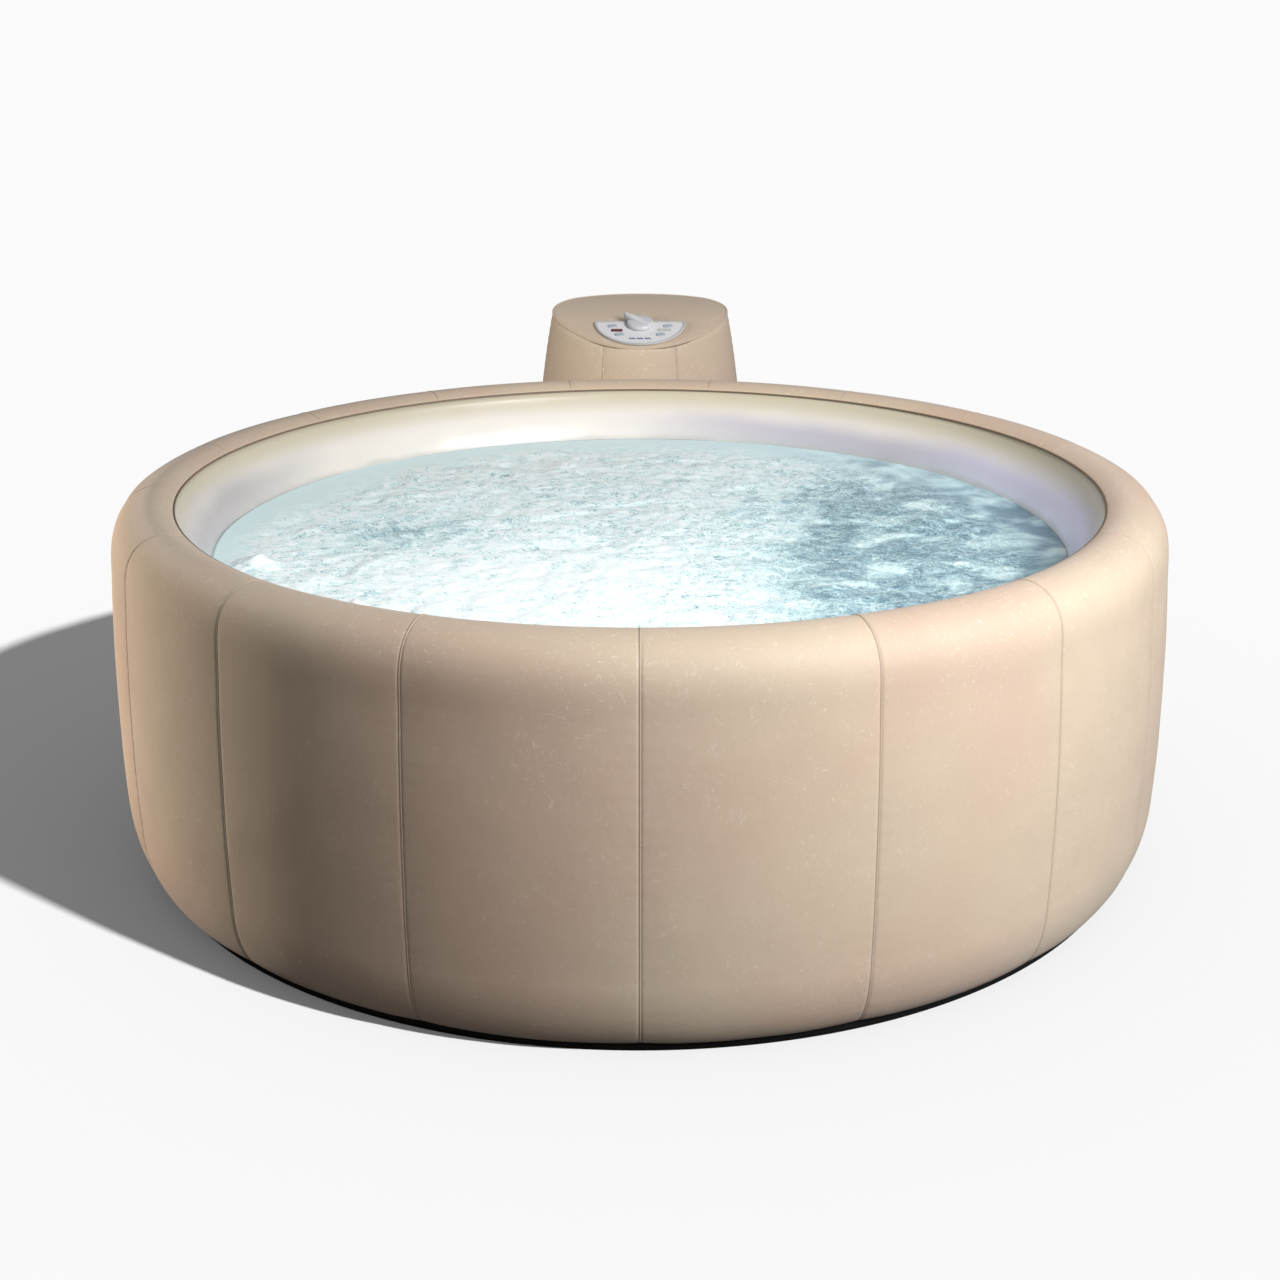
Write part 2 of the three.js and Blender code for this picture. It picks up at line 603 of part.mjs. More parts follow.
const rectangle = (x, y, width, height) => new THREE.Path(
  vectors([[-1, -1], [1, -1], [1, 1], [-1, 1]].map(([i, j]) =>
    [x + (i * width) / 2, y + (j * height) / 2])),
);

function panelFace() {
  const face = halfDisc(PANEL.rim + 0.5);
  face.holes.push(circle(6, 8, 0, KNOB.y));
  const cutout = [BUTTON.length + BUTTON.slack, BUTTON.width + BUTTON.slack];
  for (const centre of Object.values(BUTTONS)) {
    face.holes.push(new THREE.Path(vectors(arc(centre, cutout, 0, 360, 12).slice(0, -1))));
  }
  for (const [x, y, width, height] of Object.values(WINDOWS)) {
    face.holes.push(rectangle(x, y, width + 2 * GAP, height + 2 * GAP));
  }
  return plate(face, GAP, PANEL.proud);
}

// Circuit board below the panel, clear of the knob's shaft.
const panelBoard = () => plate(halfDisc(BOARD.inset), -BOARD.depth, BOARD.thickness - BOARD.depth);

// Round base with a raised fin that points to the setting, and its shaft.
function controlKnob() {
  const { radius, tip, tail, fin: width, pointing } = KNOB;
  const disc = turned([[0, 5], [radius, 5], [radius, 13], [radius - 4, 17], [0, 19]], 18);
  const side = new THREE.Shape();
  side.moveTo(tail, 10);
  side.lineTo(tip, 10);
  side.lineTo(tip, 17);
  side.quadraticCurveTo(10, 27, tail + 2, 22);
  const fin = plate(side, 0, width).rotateX(Math.PI / 2).translate(0, width / 2, 0);
  const shaft = rod(4, -42, 8, 8);
  return join(disc, fin, shaft).rotateZ(pointing).translate(0, KNOB.y, 0);
}

function airValve() {
  const { nipple, body: radius, from, shoulder, top } = AIR_VALVE;
  const body = turned([
    [0, from], [nipple, from], [nipple, shoulder], [radius, shoulder + 2], [radius, top], [0, top],
  ]);
  return cut(body, rod(5, -48, 0, 8)).translate(0, KNOB.y, 0);
}

function controlPanel() {
  const buttons = Object.entries(BUTTONS).map(([name, [x, y]]) => piece(
    name,
    rod(1, BUTTON.back, BUTTON.front).scale(BUTTON.length, BUTTON.width, 1).translate(x, y, 0),
    GREY_PLASTIC,
  ));
  const windows = Object.entries(WINDOWS).map(([name, [x, y, w, h]]) => piece(
    name, box([x - w / 2, x + w / 2], [y - h / 2, y + h / 2], [-3, PANEL.proud + 0.5]),
    name === "led_display" ? RED_LENS : PALE_LENS,
  ));
  return placed(group(
    piece("panel_bezel", panelBezel(), GREY_PLASTIC),
    piece("panel_face", panelFace(), WHITE_PLASTIC),
    piece("panel_board", panelBoard(), BOARD_GREEN),
    piece("control_knob", controlKnob(), GREY_PLASTIC),
    piece("air_valve", airValve(), DARK_PLASTIC),
    ...buttons,
    ...windows,
  ), panelFrame);
}

// Moulded tray with four feet.
function podBase() {
  const tray = rod(POD.width / 2, TRAY_BOTTOM, POD.baseTop, POD_ROUND)
    .scale(1, POD.depth / POD.width, 1).translate(0, POD.y, 0);
  const foot = () => rod(POD_FEET.radius, 0, POD_FEET.height, 10);
  const feet = [[-1, -1], [1, -1], [1, 1], [-1, 1]].map(([i, j]) =>
    foot().translate(i * POD_FEET.x, POD.y + j * POD_FEET.y, 0));
  return join(tray, ...feet);
}

const onPumpAxis = (geometry) => alongY(geometry, 0, SUCTION.z);
const PUMP_SIDES = 16;

function pumpHousing() {
  const { inletY, frontY, backY, radius, wall, outlet, outletZ } = PUMP;
  const inlet = SUCTION.bore - 1;
  const shell = onPumpAxis(turned([
    [inlet, inletY], [SUCTION.pipe, inletY], [SUCTION.pipe, frontY], [radius, frontY + 4],
    [radius, backY], [radius - wall, backY], [radius - wall, frontY + 10], [inlet, frontY + wall],
  ], PUMP_SIDES));
  const middleY = (frontY + backY) / 2;
  const spout = rod(outlet, SUCTION.z + 20, outletZ).translate(RETURN.x, middleY, 0);
  const spoutBore = rod(outlet - 4, SUCTION.z - 10, outletZ + 6).translate(RETURN.x, middleY, 0);
  const inside = onPumpAxis(rod(radius - wall, frontY + 10, backY + 1, PUMP_SIDES));
  return cut(join(shell, spout), spoutBore, inside);
}

const sealPlate = () => onPumpAxis(
  tube(MOTOR.bearing, PUMP.radius, PUMP.backY + GAP, MOTOR.frontY - 4, PUMP_SIDES),
);

// Wound stator in its can, open in the middle for the rotor.
function motorHousing() {
  const { frontY, backY, radius, wall, core, bearing } = MOTOR;
  return onPumpAxis(turned([
    [bearing, frontY], [radius, frontY], [radius, backY], [bearing, backY], [bearing, backY - wall],
    [core, backY - wall], [core, frontY + wall], [bearing, frontY + wall],
  ], PUMP_SIDES));
}

// Sleeve round the motor, with two rings of water channel that carry off its waste heat.
function heatJacket() {
  const { bore, tube: sleeve, ring: crest, y: [frontY, backY], rings, ringWidth } = HEAT_JACKET;
  const channels = rings.flatMap((from) => [
    [sleeve, from], [crest, from + 8], [crest, from + ringWidth - 8], [sleeve, from + ringWidth],
  ]);
  return onPumpAxis(turned([
    [bore, frontY], [sleeve, frontY], ...channels, [sleeve, backY], [bore, backY],
  ], PUMP_SIDES));
}

// Block under the motor, hollowed to its round and opened from side to side.
function motorBracket() {
  const { x, y: [frontY, backY], top, saddle } = BRACKET;
  const block = box([-x, x], [frontY, backY], [POD.baseTop + GAP, top]);
  const round = onPumpAxis(rod(saddle, frontY - 10, backY + 10, PUMP_SIDES));
  const window = box([22 - x, x - 22], [frontY - 10, backY + 10], [28, 46]);
  return cut(block, round, window);
}

function fanCover() {
  const { radius, wall, length, opening } = FAN_COVER;
  const front = MOTOR.backY + GAP;
  const back = MOTOR.backY + length;
  return onPumpAxis(turned([
    [opening, back - 3], [radius - wall, back - 3], [radius - wall, front], [radius, front],
    [radius, back - 2], [radius - 3, back], [opening, back],
  ], PUMP_SIDES));
}

// Shaft with the rotor core pressed on it.
function motorShaft() {
  const { radius, frontY, backY } = SHAFT;
  const core = ROTOR_CORE;
  return onPumpAxis(turned([
    [0, frontY], [radius, frontY], [radius, core.frontY], [core.radius, core.frontY],
    [core.radius, core.backY], [radius, core.backY], [radius, backY], [0, backY],
  ]));
}

// Vanes standing on a disc, each a thin box turned about the axis.
function vanes(count, inner, outer, thickness, from, to) {
  return Array.from({ length: count }, (_, i) =>
    box([inner, outer], [-thickness / 2, thickness / 2], [from, to])
      .rotateZ((i * 2 * Math.PI) / count));
}

const pressFit = SHAFT.radius + 0.6; // bore of a hub, clear of the faceted shaft

function impeller() {
  const { radius, hub, vanes: count, frontY, discY, backY } = IMPELLER;
  return onPumpAxis(join(
    tube(pressFit, radius, discY, discY + 4),
    tube(pressFit, hub, frontY, backY),
    ...vanes(count, hub - 2, radius - 2, 4, frontY, discY + 2),
  ));
}

function coolingFan() {
  const { radius, hub, blades, frontY, backY } = FAN;
  return onPumpAxis(join(
    tube(pressFit, hub, frontY, backY),
    ...vanes(blades, hub - 2, radius, 3, frontY + 2, backY - 2),
  ));
}

function returnHose() {
  const outletY = (PUMP.frontY + PUMP.backY) / 2;
  const at = (y, z) => new THREE.Vector3(RETURN.x, y, z);
  const bottom = at(outletY, PUMP.outletZ + GAP);
  const straight = at(HOSE.bendY, RETURN.z);
  const path = new THREE.CurvePath();
  path.add(new THREE.QuadraticBezierCurve3(bottom, at(outletY, RETURN.z), straight));
  path.add(new THREE.LineCurve3(straight, at(HOSE.frontY, RETURN.z)));
  return sweep(ring(HOSE.return, HOSE.return - HOSE.wall, 10), path, 8);
}

const suctionHose = () => onPumpAxis(
  tube(HOSE.suction - HOSE.wall, HOSE.suction, HOSE.frontY + 2, PUMP.inletY - GAP),
);
const unionNut = (bore, x, z) => alongY(tube(bore, UNION_NUT.radius, ...UNION_NUT.y, 10), x, z);

// Mains lead lying on the floor behind the pod, with both ends raised.
function powerCord() {
  const { lyingZ: z } = CORD;
  const plugEnd = [PLUG.x, PLUG.y[1] + 2, PLUG.top / 2 - 1];
  const path = new THREE.CatmullRomCurve3([
    [120, 1320, 14], [122, 1345, 8], [160, 1385, z], [235, 1390, z], [285, 1350, z], plugEnd,
  ].map((p) => new THREE.Vector3(...p)));
  return sweep(ring(CORD.radius, 0, 6), path, 14);
}

function powerPlug() {
  const { x, y: [frontY, backY], half, top, pinGap, pin, pinLength } = PLUG;
  const pins = [x - pinGap / 2, x + pinGap / 2].map((middle) =>
    box([middle - pin / 2, middle + pin / 2], [frontY - pinLength, frontY + 1], [14, 18]));
  return join(box([x - half, x + half], [frontY, backY], [0.2, top]), ...pins);
}

function powerBox() {
  const { x, y, top } = POWER_BOX;
  return box(x, y, [POD.baseTop + GAP, top]);
}

function pod() {
  return group(
    piece("pod_base", podBase(), DARK_PLASTIC),
    piece("hood_shell", hoodShell(), LEATHERETTE),
    piece("hood_top", hoodTop(), LEATHERETTE),
    controlPanel(),
    piece("pump_housing", pumpHousing(), DARK_PLASTIC),
    piece("seal_plate", sealPlate(), STEEL),
    piece("motor_housing", motorHousing(), STEEL),
    piece("heat_jacket", heatJacket(), ALUMINIUM),
    piece("motor_bracket", motorBracket(), STEEL),
    piece("fan_cover", fanCover(), DARK_PLASTIC),
    piece("motor_shaft", motorShaft(), STEEL),
    piece("impeller", impeller(), WHITE_PLASTIC),
    piece("cooling_fan", coolingFan(), DARK_PLASTIC),
    piece("power_box", powerBox(), GREY_PLASTIC),
    piece("suction_hose", suctionHose(), RUBBER),
    piece("return_hose", returnHose(), RUBBER),
    piece("suction_union_nut", unionNut(SUCTION.pipe + 2, 0, SUCTION.z), WHITE_PLASTIC),
    piece("return_union_nut", unionNut(MANIFOLD.stub + 2.5, RETURN.x, RETURN.z), WHITE_PLASTIC),
    piece("power_cord", powerCord(), RUBBER),
    piece("power_plug", powerPlug(), RUBBER),
  );
}

// ---------------------------------------------------------------- assembly

function fittings() {
  return group(
    ...jetFrames.map((frame, i) => jet(frame, i + 1)),
    placed(group(piece("suction_fitting", suctionFitting(), WHITE_PLASTIC)), suctionFrame),
    piece("filter_cage", filterCage(), WHITE_PLASTIC),
    piece("filter_cartridge", filterCartridge(), FILTER_PAPER),
    piece("filter_cap", filterCap(), WHITE_PLASTIC),
    placed(group(
      piece("drain_pipe", drainPipe(), WHITE_PLASTIC),
      piece("drain_valve_body", drainValveBody(), DARK_PLASTIC),
      piece("drain_lever", drainLever(), GREY_PLASTIC),
      piece("drain_ball", drainBall(), STEEL),
    ), drainFrame),
    placed(group(
      piece("light_housing", lightHousing(), WHITE_PLASTIC),
      piece("light_lens", lightLens(), PALE_LENS),
    ), lightFrame),
  );
}

const hotTub = group(tubShell(), fittings(), pod());
export default hotTub;
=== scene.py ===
"""Looks for a round portable hot tub and its pump pod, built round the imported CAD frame. Metres."""
import json
import math

import bmesh
import bpy
import numpy as np
from mathutils import Matrix, Vector, noise


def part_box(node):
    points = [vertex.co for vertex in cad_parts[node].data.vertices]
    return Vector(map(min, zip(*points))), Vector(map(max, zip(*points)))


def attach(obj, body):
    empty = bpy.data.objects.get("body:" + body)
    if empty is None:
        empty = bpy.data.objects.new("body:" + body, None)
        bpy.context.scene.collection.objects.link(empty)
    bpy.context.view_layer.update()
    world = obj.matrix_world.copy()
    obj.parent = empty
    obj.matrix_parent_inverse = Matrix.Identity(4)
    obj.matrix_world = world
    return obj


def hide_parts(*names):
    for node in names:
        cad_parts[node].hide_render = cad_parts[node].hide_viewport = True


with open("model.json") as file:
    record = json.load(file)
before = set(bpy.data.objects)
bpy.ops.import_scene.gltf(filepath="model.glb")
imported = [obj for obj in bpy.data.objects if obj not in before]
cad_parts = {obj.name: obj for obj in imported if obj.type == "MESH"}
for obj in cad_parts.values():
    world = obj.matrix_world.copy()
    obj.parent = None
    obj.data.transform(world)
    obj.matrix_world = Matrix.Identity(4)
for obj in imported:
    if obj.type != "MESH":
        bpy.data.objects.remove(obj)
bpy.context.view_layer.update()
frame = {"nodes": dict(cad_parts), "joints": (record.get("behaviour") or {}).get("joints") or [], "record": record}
LINK = bpy.context.scene.collection.objects.link

# ---- sizes taken from the frame

PANELS = 17
PANEL_ANGLE = 2 * math.pi / PANELS
FRONT = -math.pi / 2  # one seam faces -Y

JACKET_LOW, JACKET_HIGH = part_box("outer_jacket")
PAD_RADIUS = -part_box("ground_pad")[0].y
WELT_LOW, WELT_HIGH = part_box("rim_welt")
WELT_RADIUS = -(WELT_LOW.y + 0.0026)
WATER_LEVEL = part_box("water")[1].z
LINER_LOW, LINER_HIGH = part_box("liner")
LINER_RADIUS = -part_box("foam_floor")[0].y - 0.0012

# Shape of the tub's wall, the same curves as the CAD section.
RIM_REACH, RIM_DROP, RIM_POWER = 0.115, 0.106, 3.4
FOOT_REACH, FOOT_RISE = 0.050, 0.117
WALL_BULGE, WALL_LEAN = 0.0055, 0.008
LIP_ROUND = 0.002  # radius of the rim's rolled inner lip
LIP_FALL = 0.0165  # how far the rim drops from its crest to its inner lip
CORD_LIFT = 0.002  # the rim cord is drawn up tight under the lip
MID_WALL = 0.30
SHEET = 0.008  # depth of the jacket and its backing
ROUND_STEPS = 272  # points round the tub for what has no seams

# ---- mesh helpers


def new_object(name, vertices, faces):
    mesh = bpy.data.meshes.new(name)
    mesh.from_pydata(np.asarray(vertices, float).tolist(), [], [list(face) for face in faces])
    mesh.validate()
    mesh.polygons.foreach_set("use_smooth", [True] * len(mesh.polygons))
    obj = bpy.data.objects.new(name, mesh)
    LINK(obj)
    return obj


def grid_faces(rows, columns, wrap_rows=False, wrap_columns=False):
    """Quads of a grid whose vertices run column by column along each row."""
    row = np.arange(rows if wrap_rows else rows - 1)
    column = np.arange(columns if wrap_columns else columns - 1)
    r, c = (index.ravel() for index in np.meshgrid(row, column, indexing="ij"))
    r_next, c_next = (r + 1) % rows, (c + 1) % columns
    corners = [r * columns + c, r * columns + c_next, r_next * columns + c_next, r_next * columns + c]
    return np.column_stack(corners)


def arc(centre, radii, start, end, steps, power=2.0):
    """Points on an ellipse, or on a squarer curve when power is above 2, between angles in degrees."""
    angle = np.radians(np.linspace(start, end, steps + 1))
    cos, sin = np.cos(angle), np.sin(angle)
    bend = 2 / power
    return np.column_stack([
        centre[0] + radii[0] * np.sign(cos) * np.abs(cos) ** bend,
        centre[1] + radii[1] * np.sign(sin) * np.abs(sin) ** bend,
    ])


def full_turn(count):
    return np.linspace(0, 2 * math.pi, count, endpoint=False)


def lengths_along(points):
    steps = np.linalg.norm(np.diff(points, axis=0), axis=1)
    return np.concatenate([[0], np.cumsum(steps)])


def resample(points, spacing):
    """The polyline with evenly spaced points."""
    length = lengths_along(points)
    count = max(int(length[-1] / spacing), 2)
    at = np.linspace(0, length[-1], count + 1)
    return np.column_stack([np.interp(at, length, points[:, i]) for i in range(2)])


def eased(points, passes):
    """The polyline with its bends softened, and its two ends where they were."""
    points = points.copy()
    for _ in range(passes):
        points[1:-1] = (points[:-2] + 2 * points[1:-1] + points[2:]) / 4
    return points


def bezier(pulls, steps):
    """Points along the curve that these control points pull."""
    t = np.linspace(0, 1, steps)[:, None]
    last = len(pulls) - 1
    weights = [math.comb(last, i) * t**i * (1 - t) ** (last - i) for i in range(last + 1)]
    return np.hstack(weights) @ np.array(pulls)


def left_normals(points):
    """Unit normals to the left of the polyline's direction."""
    along = np.gradient(points, axis=0)
    along /= np.linalg.norm(along, axis=1)[:, None]
    return np.column_stack([-along[:, 1], along[:, 0]])


def round_axis(radius, z, angles):
    """Points of a profile, or of a row of them, carried round the Z axis."""
    cos, sin = np.cos(angles), np.sin(angles)
    return np.stack([radius * cos, radius * sin, z + 0 * cos], axis=-1).reshape(-1, 3)


def turn(name, section, steps, closed=True):
    """A surface of revolution from a [radius, z] section."""
    points = round_axis(section[:, :1], section[:, 1:], full_turn(steps))
    return new_object(name, points, grid_faces(len(section), steps, closed, wrap_columns=True))


def point_values(obj, name, values):
    attribute = obj.data.attributes.new(name, "FLOAT", "POINT")
    attribute.data.foreach_set("value", np.ravel(values).astype(np.float32))


def coordinates(mesh):
    return np.array([vertex.co for vertex in mesh.vertices])


def outward(obj, fill=False, merge=False):
    """Points every face outwards, after filling holes or merging doubled points if asked."""
    mesh = bmesh.new()
    mesh.from_mesh(obj.data)
    if fill:
        bmesh.ops.holes_fill(mesh, edges=mesh.edges)
    if merge:
        bmesh.ops.remove_doubles(mesh, verts=mesh.verts, dist=1e-6)
    bmesh.ops.recalc_face_normals(mesh, faces=mesh.faces)
    mesh.to_mesh(obj.data)
    mesh.free()
    return obj


def lofted(name, rings, closed=False):
    """A skin over rings of points, with flat ends unless its rings close on themselves."""
    count = len(rings[0])
    faces = grid_faces(len(rings), count, closed, wrap_columns=True).tolist()
    if not closed:
        faces += [list(range(count)), list(range((len(rings) - 1) * count, len(rings) * count))]
    return outward(new_object(name, np.concatenate(rings), faces))


def smoothstep(low, high, value):
    t = np.clip((value - low) / (high - low), 0, 1)
    return t * t * (3 - 2 * t)


def fractal(points, scale, octaves, offset=0.0):
    """Fractal noise near [-1, 1] at each point."""
    shift = Vector((offset, offset * 0.7, offset * 1.3))
    return np.array([
        noise.fractal(Vector(point) * scale + shift, 1.0, 2.0, octaves) for point in points.tolist()
    ])


# ---- material helpers


class Nodes:
    """Short way to build a node material."""

    def __init__(self, name):
        self.material = bpy.data.materials.new(name)
        self.material.use_nodes = True
        self.tree = self.material.node_tree
        self.shader = self.tree.nodes["Principled BSDF"]
        self.place = self.add("ShaderNodeTexCoord").outputs["Object"]

    def add(self, kind, inputs=None, **settings):
        node = self.tree.nodes.new(kind)
        for key, value in settings.items():
            setattr(node, key, value)
        for key, value in (inputs or {}).items():
            self.set(node.inputs[key], value)
        return node

    def set(self, socket, value):
        if isinstance(value, bpy.types.NodeSocket):
            self.tree.links.new(value, socket)
        elif isinstance(value, tuple) and len(value) == 3 and socket.type == "RGBA":
            socket.default_value = (*value, 1)
        else:
            socket.default_value = value

    def noise(self, scale, detail=3.0, roughness=0.5, distortion=0.0, place=None):
        values = {"Vector": place or self.place, "Scale": scale, "Detail": detail,
                  "Roughness": roughness, "Distortion": distortion}
        return self.add("ShaderNodeTexNoise", values).outputs["Fac"]

    def cells(self, scale, place=None, **settings):
        values = {"Vector": place or self.place, "Scale": scale}
        return self.add("ShaderNodeTexVoronoi", values, **settings).outputs["Distance"]

    def edges(self, scale, width, place=None):
        """Thin lines between cells, from 1 on the line to 0 at width from it."""
        near = self.cells(scale, place, feature="DISTANCE_TO_EDGE")
        return self.range(near, width, 0.0, smooth=False)

    def point_value(self, name):
        return self.add("ShaderNodeAttribute", attribute_name=name).outputs["Fac"]

    def math(self, operation, a, b=0.0, clamp=False):
        node = self.add("ShaderNodeMath", operation=operation, use_clamp=clamp)
        self.set(node.inputs[0], a)
        self.set(node.inputs[1], b)
        return node.outputs[0]

    def times(self, a, b):
        return self.math("MULTIPLY", a, b)

    def plus(self, a, b):
        return self.math("ADD", a, b)

    def range(self, value, low, high, to_low=0.0, to_high=1.0, smooth=True):
        kind = "SMOOTHSTEP" if smooth else "LINEAR"
        values = {"Value": value, "From Min": low, "From Max": high, "To Min": to_low, "To Max": to_high}
        return self.add("ShaderNodeMapRange", values, interpolation_type=kind).outputs["Result"]

    def mix(self, factor, a, b):
        node = self.add("ShaderNodeMix", data_type="RGBA")
        self.set(node.inputs["Factor"], factor)
        self.set(node.inputs["A"], a)
        self.set(node.inputs["B"], b)
        return node.outputs["Result"]

    def ramp(self, value, stops):
        """Colours read off a scale, from (position, colour) stops."""
        node = self.add("ShaderNodeValToRGB", {"Fac": value})
        band = node.color_ramp.elements
        band.remove(band[1])
        band[0].position, band[0].color = stops[0][0], (*stops[0][1], 1)
        for position, colour in stops[1:]:
            band.new(position).color = (*colour, 1)
        return node.outputs["Color"]

    def stretched(self, x, y, z):
        return self.add("ShaderNodeMapping", {"Vector": self.place, "Scale": (x, y, z)}).outputs[0]

    def bump(self, height, distance, strength=1.0, normal=None):
        values = {"Height": height, "Distance": distance, "Strength": strength}
        if normal is not None:
            values["Normal"] = normal
        return self.add("ShaderNodeBump", values).outputs["Normal"]

    def finish(self, **inputs):
        for key, value in inputs.items():
            self.set(self.shader.inputs[key.replace("_", " ")], value)
        return self.material


# Colours are scene-linear.
TAN = (0.565, 0.425, 0.31)
TAN_WARM = (0.59, 0.425, 0.308)
TAN_PALE = (0.605, 0.475, 0.34)
FIBRE = (0.86, 0.78, 0.66)


def fibres(n, scale, width, rarity, stretch):
    """Short curved fibres: thin level lines of one noise, kept only where another is high."""
    place = n.stretched(*stretch)
    field = n.noise(scale, 1.0, 0.5, 0.6, place)
    line = n.math("ABSOLUTE", n.math("SUBTRACT", field, 0.5))
    thin = n.range(line, width, 0.0)
    patch = n.range(n.noise(scale * 0.8, 0.0, 0.5), rarity, rarity + 0.05)
    return n.times(thin, patch)


def leatherette():
    n = Nodes("leatherette")
    clouds = n.range(n.noise(2.2, 2.0, 0.5, 0.4), 0.38, 0.62)
    colour = n.mix(clouds, TAN_WARM, TAN_PALE)
    mottle = n.range(n.noise(38.0, 4.0, 0.6), 0.3, 0.7)
    colour = n.mix(n.times(mottle, 0.25), colour, TAN)
    strands = n.math("MAXIMUM", fibres(n, 95.0, 0.019, 0.585, (1, 1, 0.8)),
                     fibres(n, 150.0, 0.026, 0.60, (0.8, 1, 1.1)))
    specks = n.range(n.cells(120.0), 0.10, 0.04)
    rare = n.range(n.noise(75.0, 1.0), 0.60, 0.68)
    flecks = n.math("MAXIMUM", strands, n.times(specks, rare))
    shoulder = n.range(n.add("ShaderNodeSeparateXYZ", {"Vector": n.place}).outputs["Z"], 0.50, 0.64)
    strength = n.plus(n.range(n.noise(7.0, 2.0), 0.35, 0.65, 0.14, 0.38), n.times(shoulder, 0.22))
    flecks = n.times(flecks, strength)
    colour = n.mix(flecks, colour, FIBRE)
    # Painted shade: the colour darkens along the seam grooves, where shade falls.
    colour = n.mix(n.times(n.point_value("seam"), 0.28), colour, (0.16, 0.11, 0.075))
    grain = n.cells(900.0, feature="DISTANCE_TO_EDGE")
    normal = n.bump(n.noise(70.0, 3.0), 0.0006, 0.3)
    normal = n.bump(n.range(grain, 0.0, 0.25), 0.00025, 0.45, normal)
    normal = n.bump(n.noise(2200.0, 2.0), 0.0001, 0.4, normal)
    normal = n.bump(flecks, 0.0004, 0.3, normal)
    roughness = n.range(n.noise(14.0, 4.0), 0.3, 0.7, 0.46, 0.60)
    return n.finish(Base_Color=colour, Roughness=roughness, Normal=normal, Specular_IOR_Level=0.35,
                    Sheen_Weight=0.15, Sheen_Roughness=0.5)


def matt(name, mottle, colours, roughness, grain, depth, strength=0.5, shine=0.5):
    """A matt stuff in two close colours. The mottle and the grain are the scale and detail of a
    noise, and a grain without a detail is made of cells."""
    n = Nodes(name)
    height = n.noise(*grain) if len(grain) > 1 else n.cells(*grain)
    return n.finish(Base_Color=n.mix(n.noise(*mottle), *colours), Roughness=roughness,
                    Normal=n.bump(height, depth, strength), Specular_IOR_Level=shine)


def pearl_vinyl():
    """Satin vinyl with a painted sheen and painted shade: warm where it faces you, cool and darker where it turns
    away, most of all on its right side.
    """
    n = Nodes("pearl_vinyl")
    facing = n.add("ShaderNodeLayerWeight", {"Blend": 0.45}).outputs["Facing"]
    drift = n.noise(1.6, 2.0, 0.5, 0.5)
    cool = n.mix(drift, (0.54, 0.50, 0.64), (0.55, 0.57, 0.64))
    warm = n.mix(drift, (0.75, 0.68, 0.59), (0.75, 0.70, 0.63))
    across, deeper, height = n.add("ShaderNodeSeparateXYZ", {"Vector": n.place}).outputs
    # Painted sheen and shade: the cool colour takes over where the face turns away, and more towards the right.
    coolness = n.times(n.range(facing, 0.25, 0.85), n.range(across, -0.4, 0.2, 0.25, 1.0))
    colour = n.mix(coolness, warm, cool)
    # Painted light and shade on the liner's sides, in a band from under the lip down to the water: a pale blue and
    # lavender highlight on the right, a dark grey shade on the far left.
    aslant = n.plus(n.times(across, 0.85), n.times(deeper, 0.5))
    sideways = n.math("MAXIMUM", n.range(aslant, 0.25, 0.65), n.range(across, -0.58, -0.76, 0.0, 0.8))
    wavy = n.plus(height, n.times(n.noise(4.0, 2.0), 0.05))
    upper = n.range(wavy, LINER_HIGH.z + 0.005, LINER_HIGH.z - 0.035)
    lower = n.range(wavy, WATER_LEVEL + 0.004, WATER_LEVEL + 0.026)
    side_light_and_shade = n.times(n.times(upper, lower), n.times(sideways, 0.75))
    far_right = n.range(across, 0.50, 0.76)
    # Painted highlight colours for the right side.
    lavender = n.mix(far_right, (0.38, 0.35, 0.43), (0.62, 0.60, 0.80))
    pale_blue = n.mix(far_right, (0.36, 0.38, 0.42), (0.80, 0.85, 1.0))
    right = n.mix(n.range(wavy, WATER_LEVEL + 0.020, WATER_LEVEL + 0.060), pale_blue, lavender)
    # Painted shade colour for the far left.
    left = n.mix(drift, (0.29, 0.27, 0.29), (0.33, 0.31, 0.33))
    colour = n.mix(side_light_and_shade, colour, n.mix(n.range(across, -0.1, 0.1), left, right))
    # Painted shade under the rim's lip, tinted tan like light thrown back off the rim.
    lip_shade_and_bounce = n.range(height, LINER_HIGH.z - 0.045, LINER_HIGH.z - 0.004, 0.0, 0.8)
    colour = n.mix(lip_shade_and_bounce, colour, (0.50, 0.43, 0.28))
    wet = n.range(n.plus(height, n.times(n.noise(14.0, 3.0), 0.02)),
                  WATER_LEVEL + 0.022, WATER_LEVEL + 0.010, 0.0, 0.45)
    colour = n.mix(wet, colour, (0.44, 0.44, 0.40))
    normal = n.bump(n.noise(7.0, 1.0, 0.4), 0.004, 0.2)
    normal = n.bump(n.noise(500.0, 4.0, 0.6), 0.0002, 0.25, normal)
    roughness = n.range(n.noise(20.0, 3.0), 0.3, 0.7, 0.28, 0.40)
    return n.finish(Base_Color=colour, Roughness=roughness, Normal=normal, Specular_IOR_Level=0.5,
                    Coat_Weight=0.2, Coat_Roughness=0.3, Sheen_Weight=0.2)


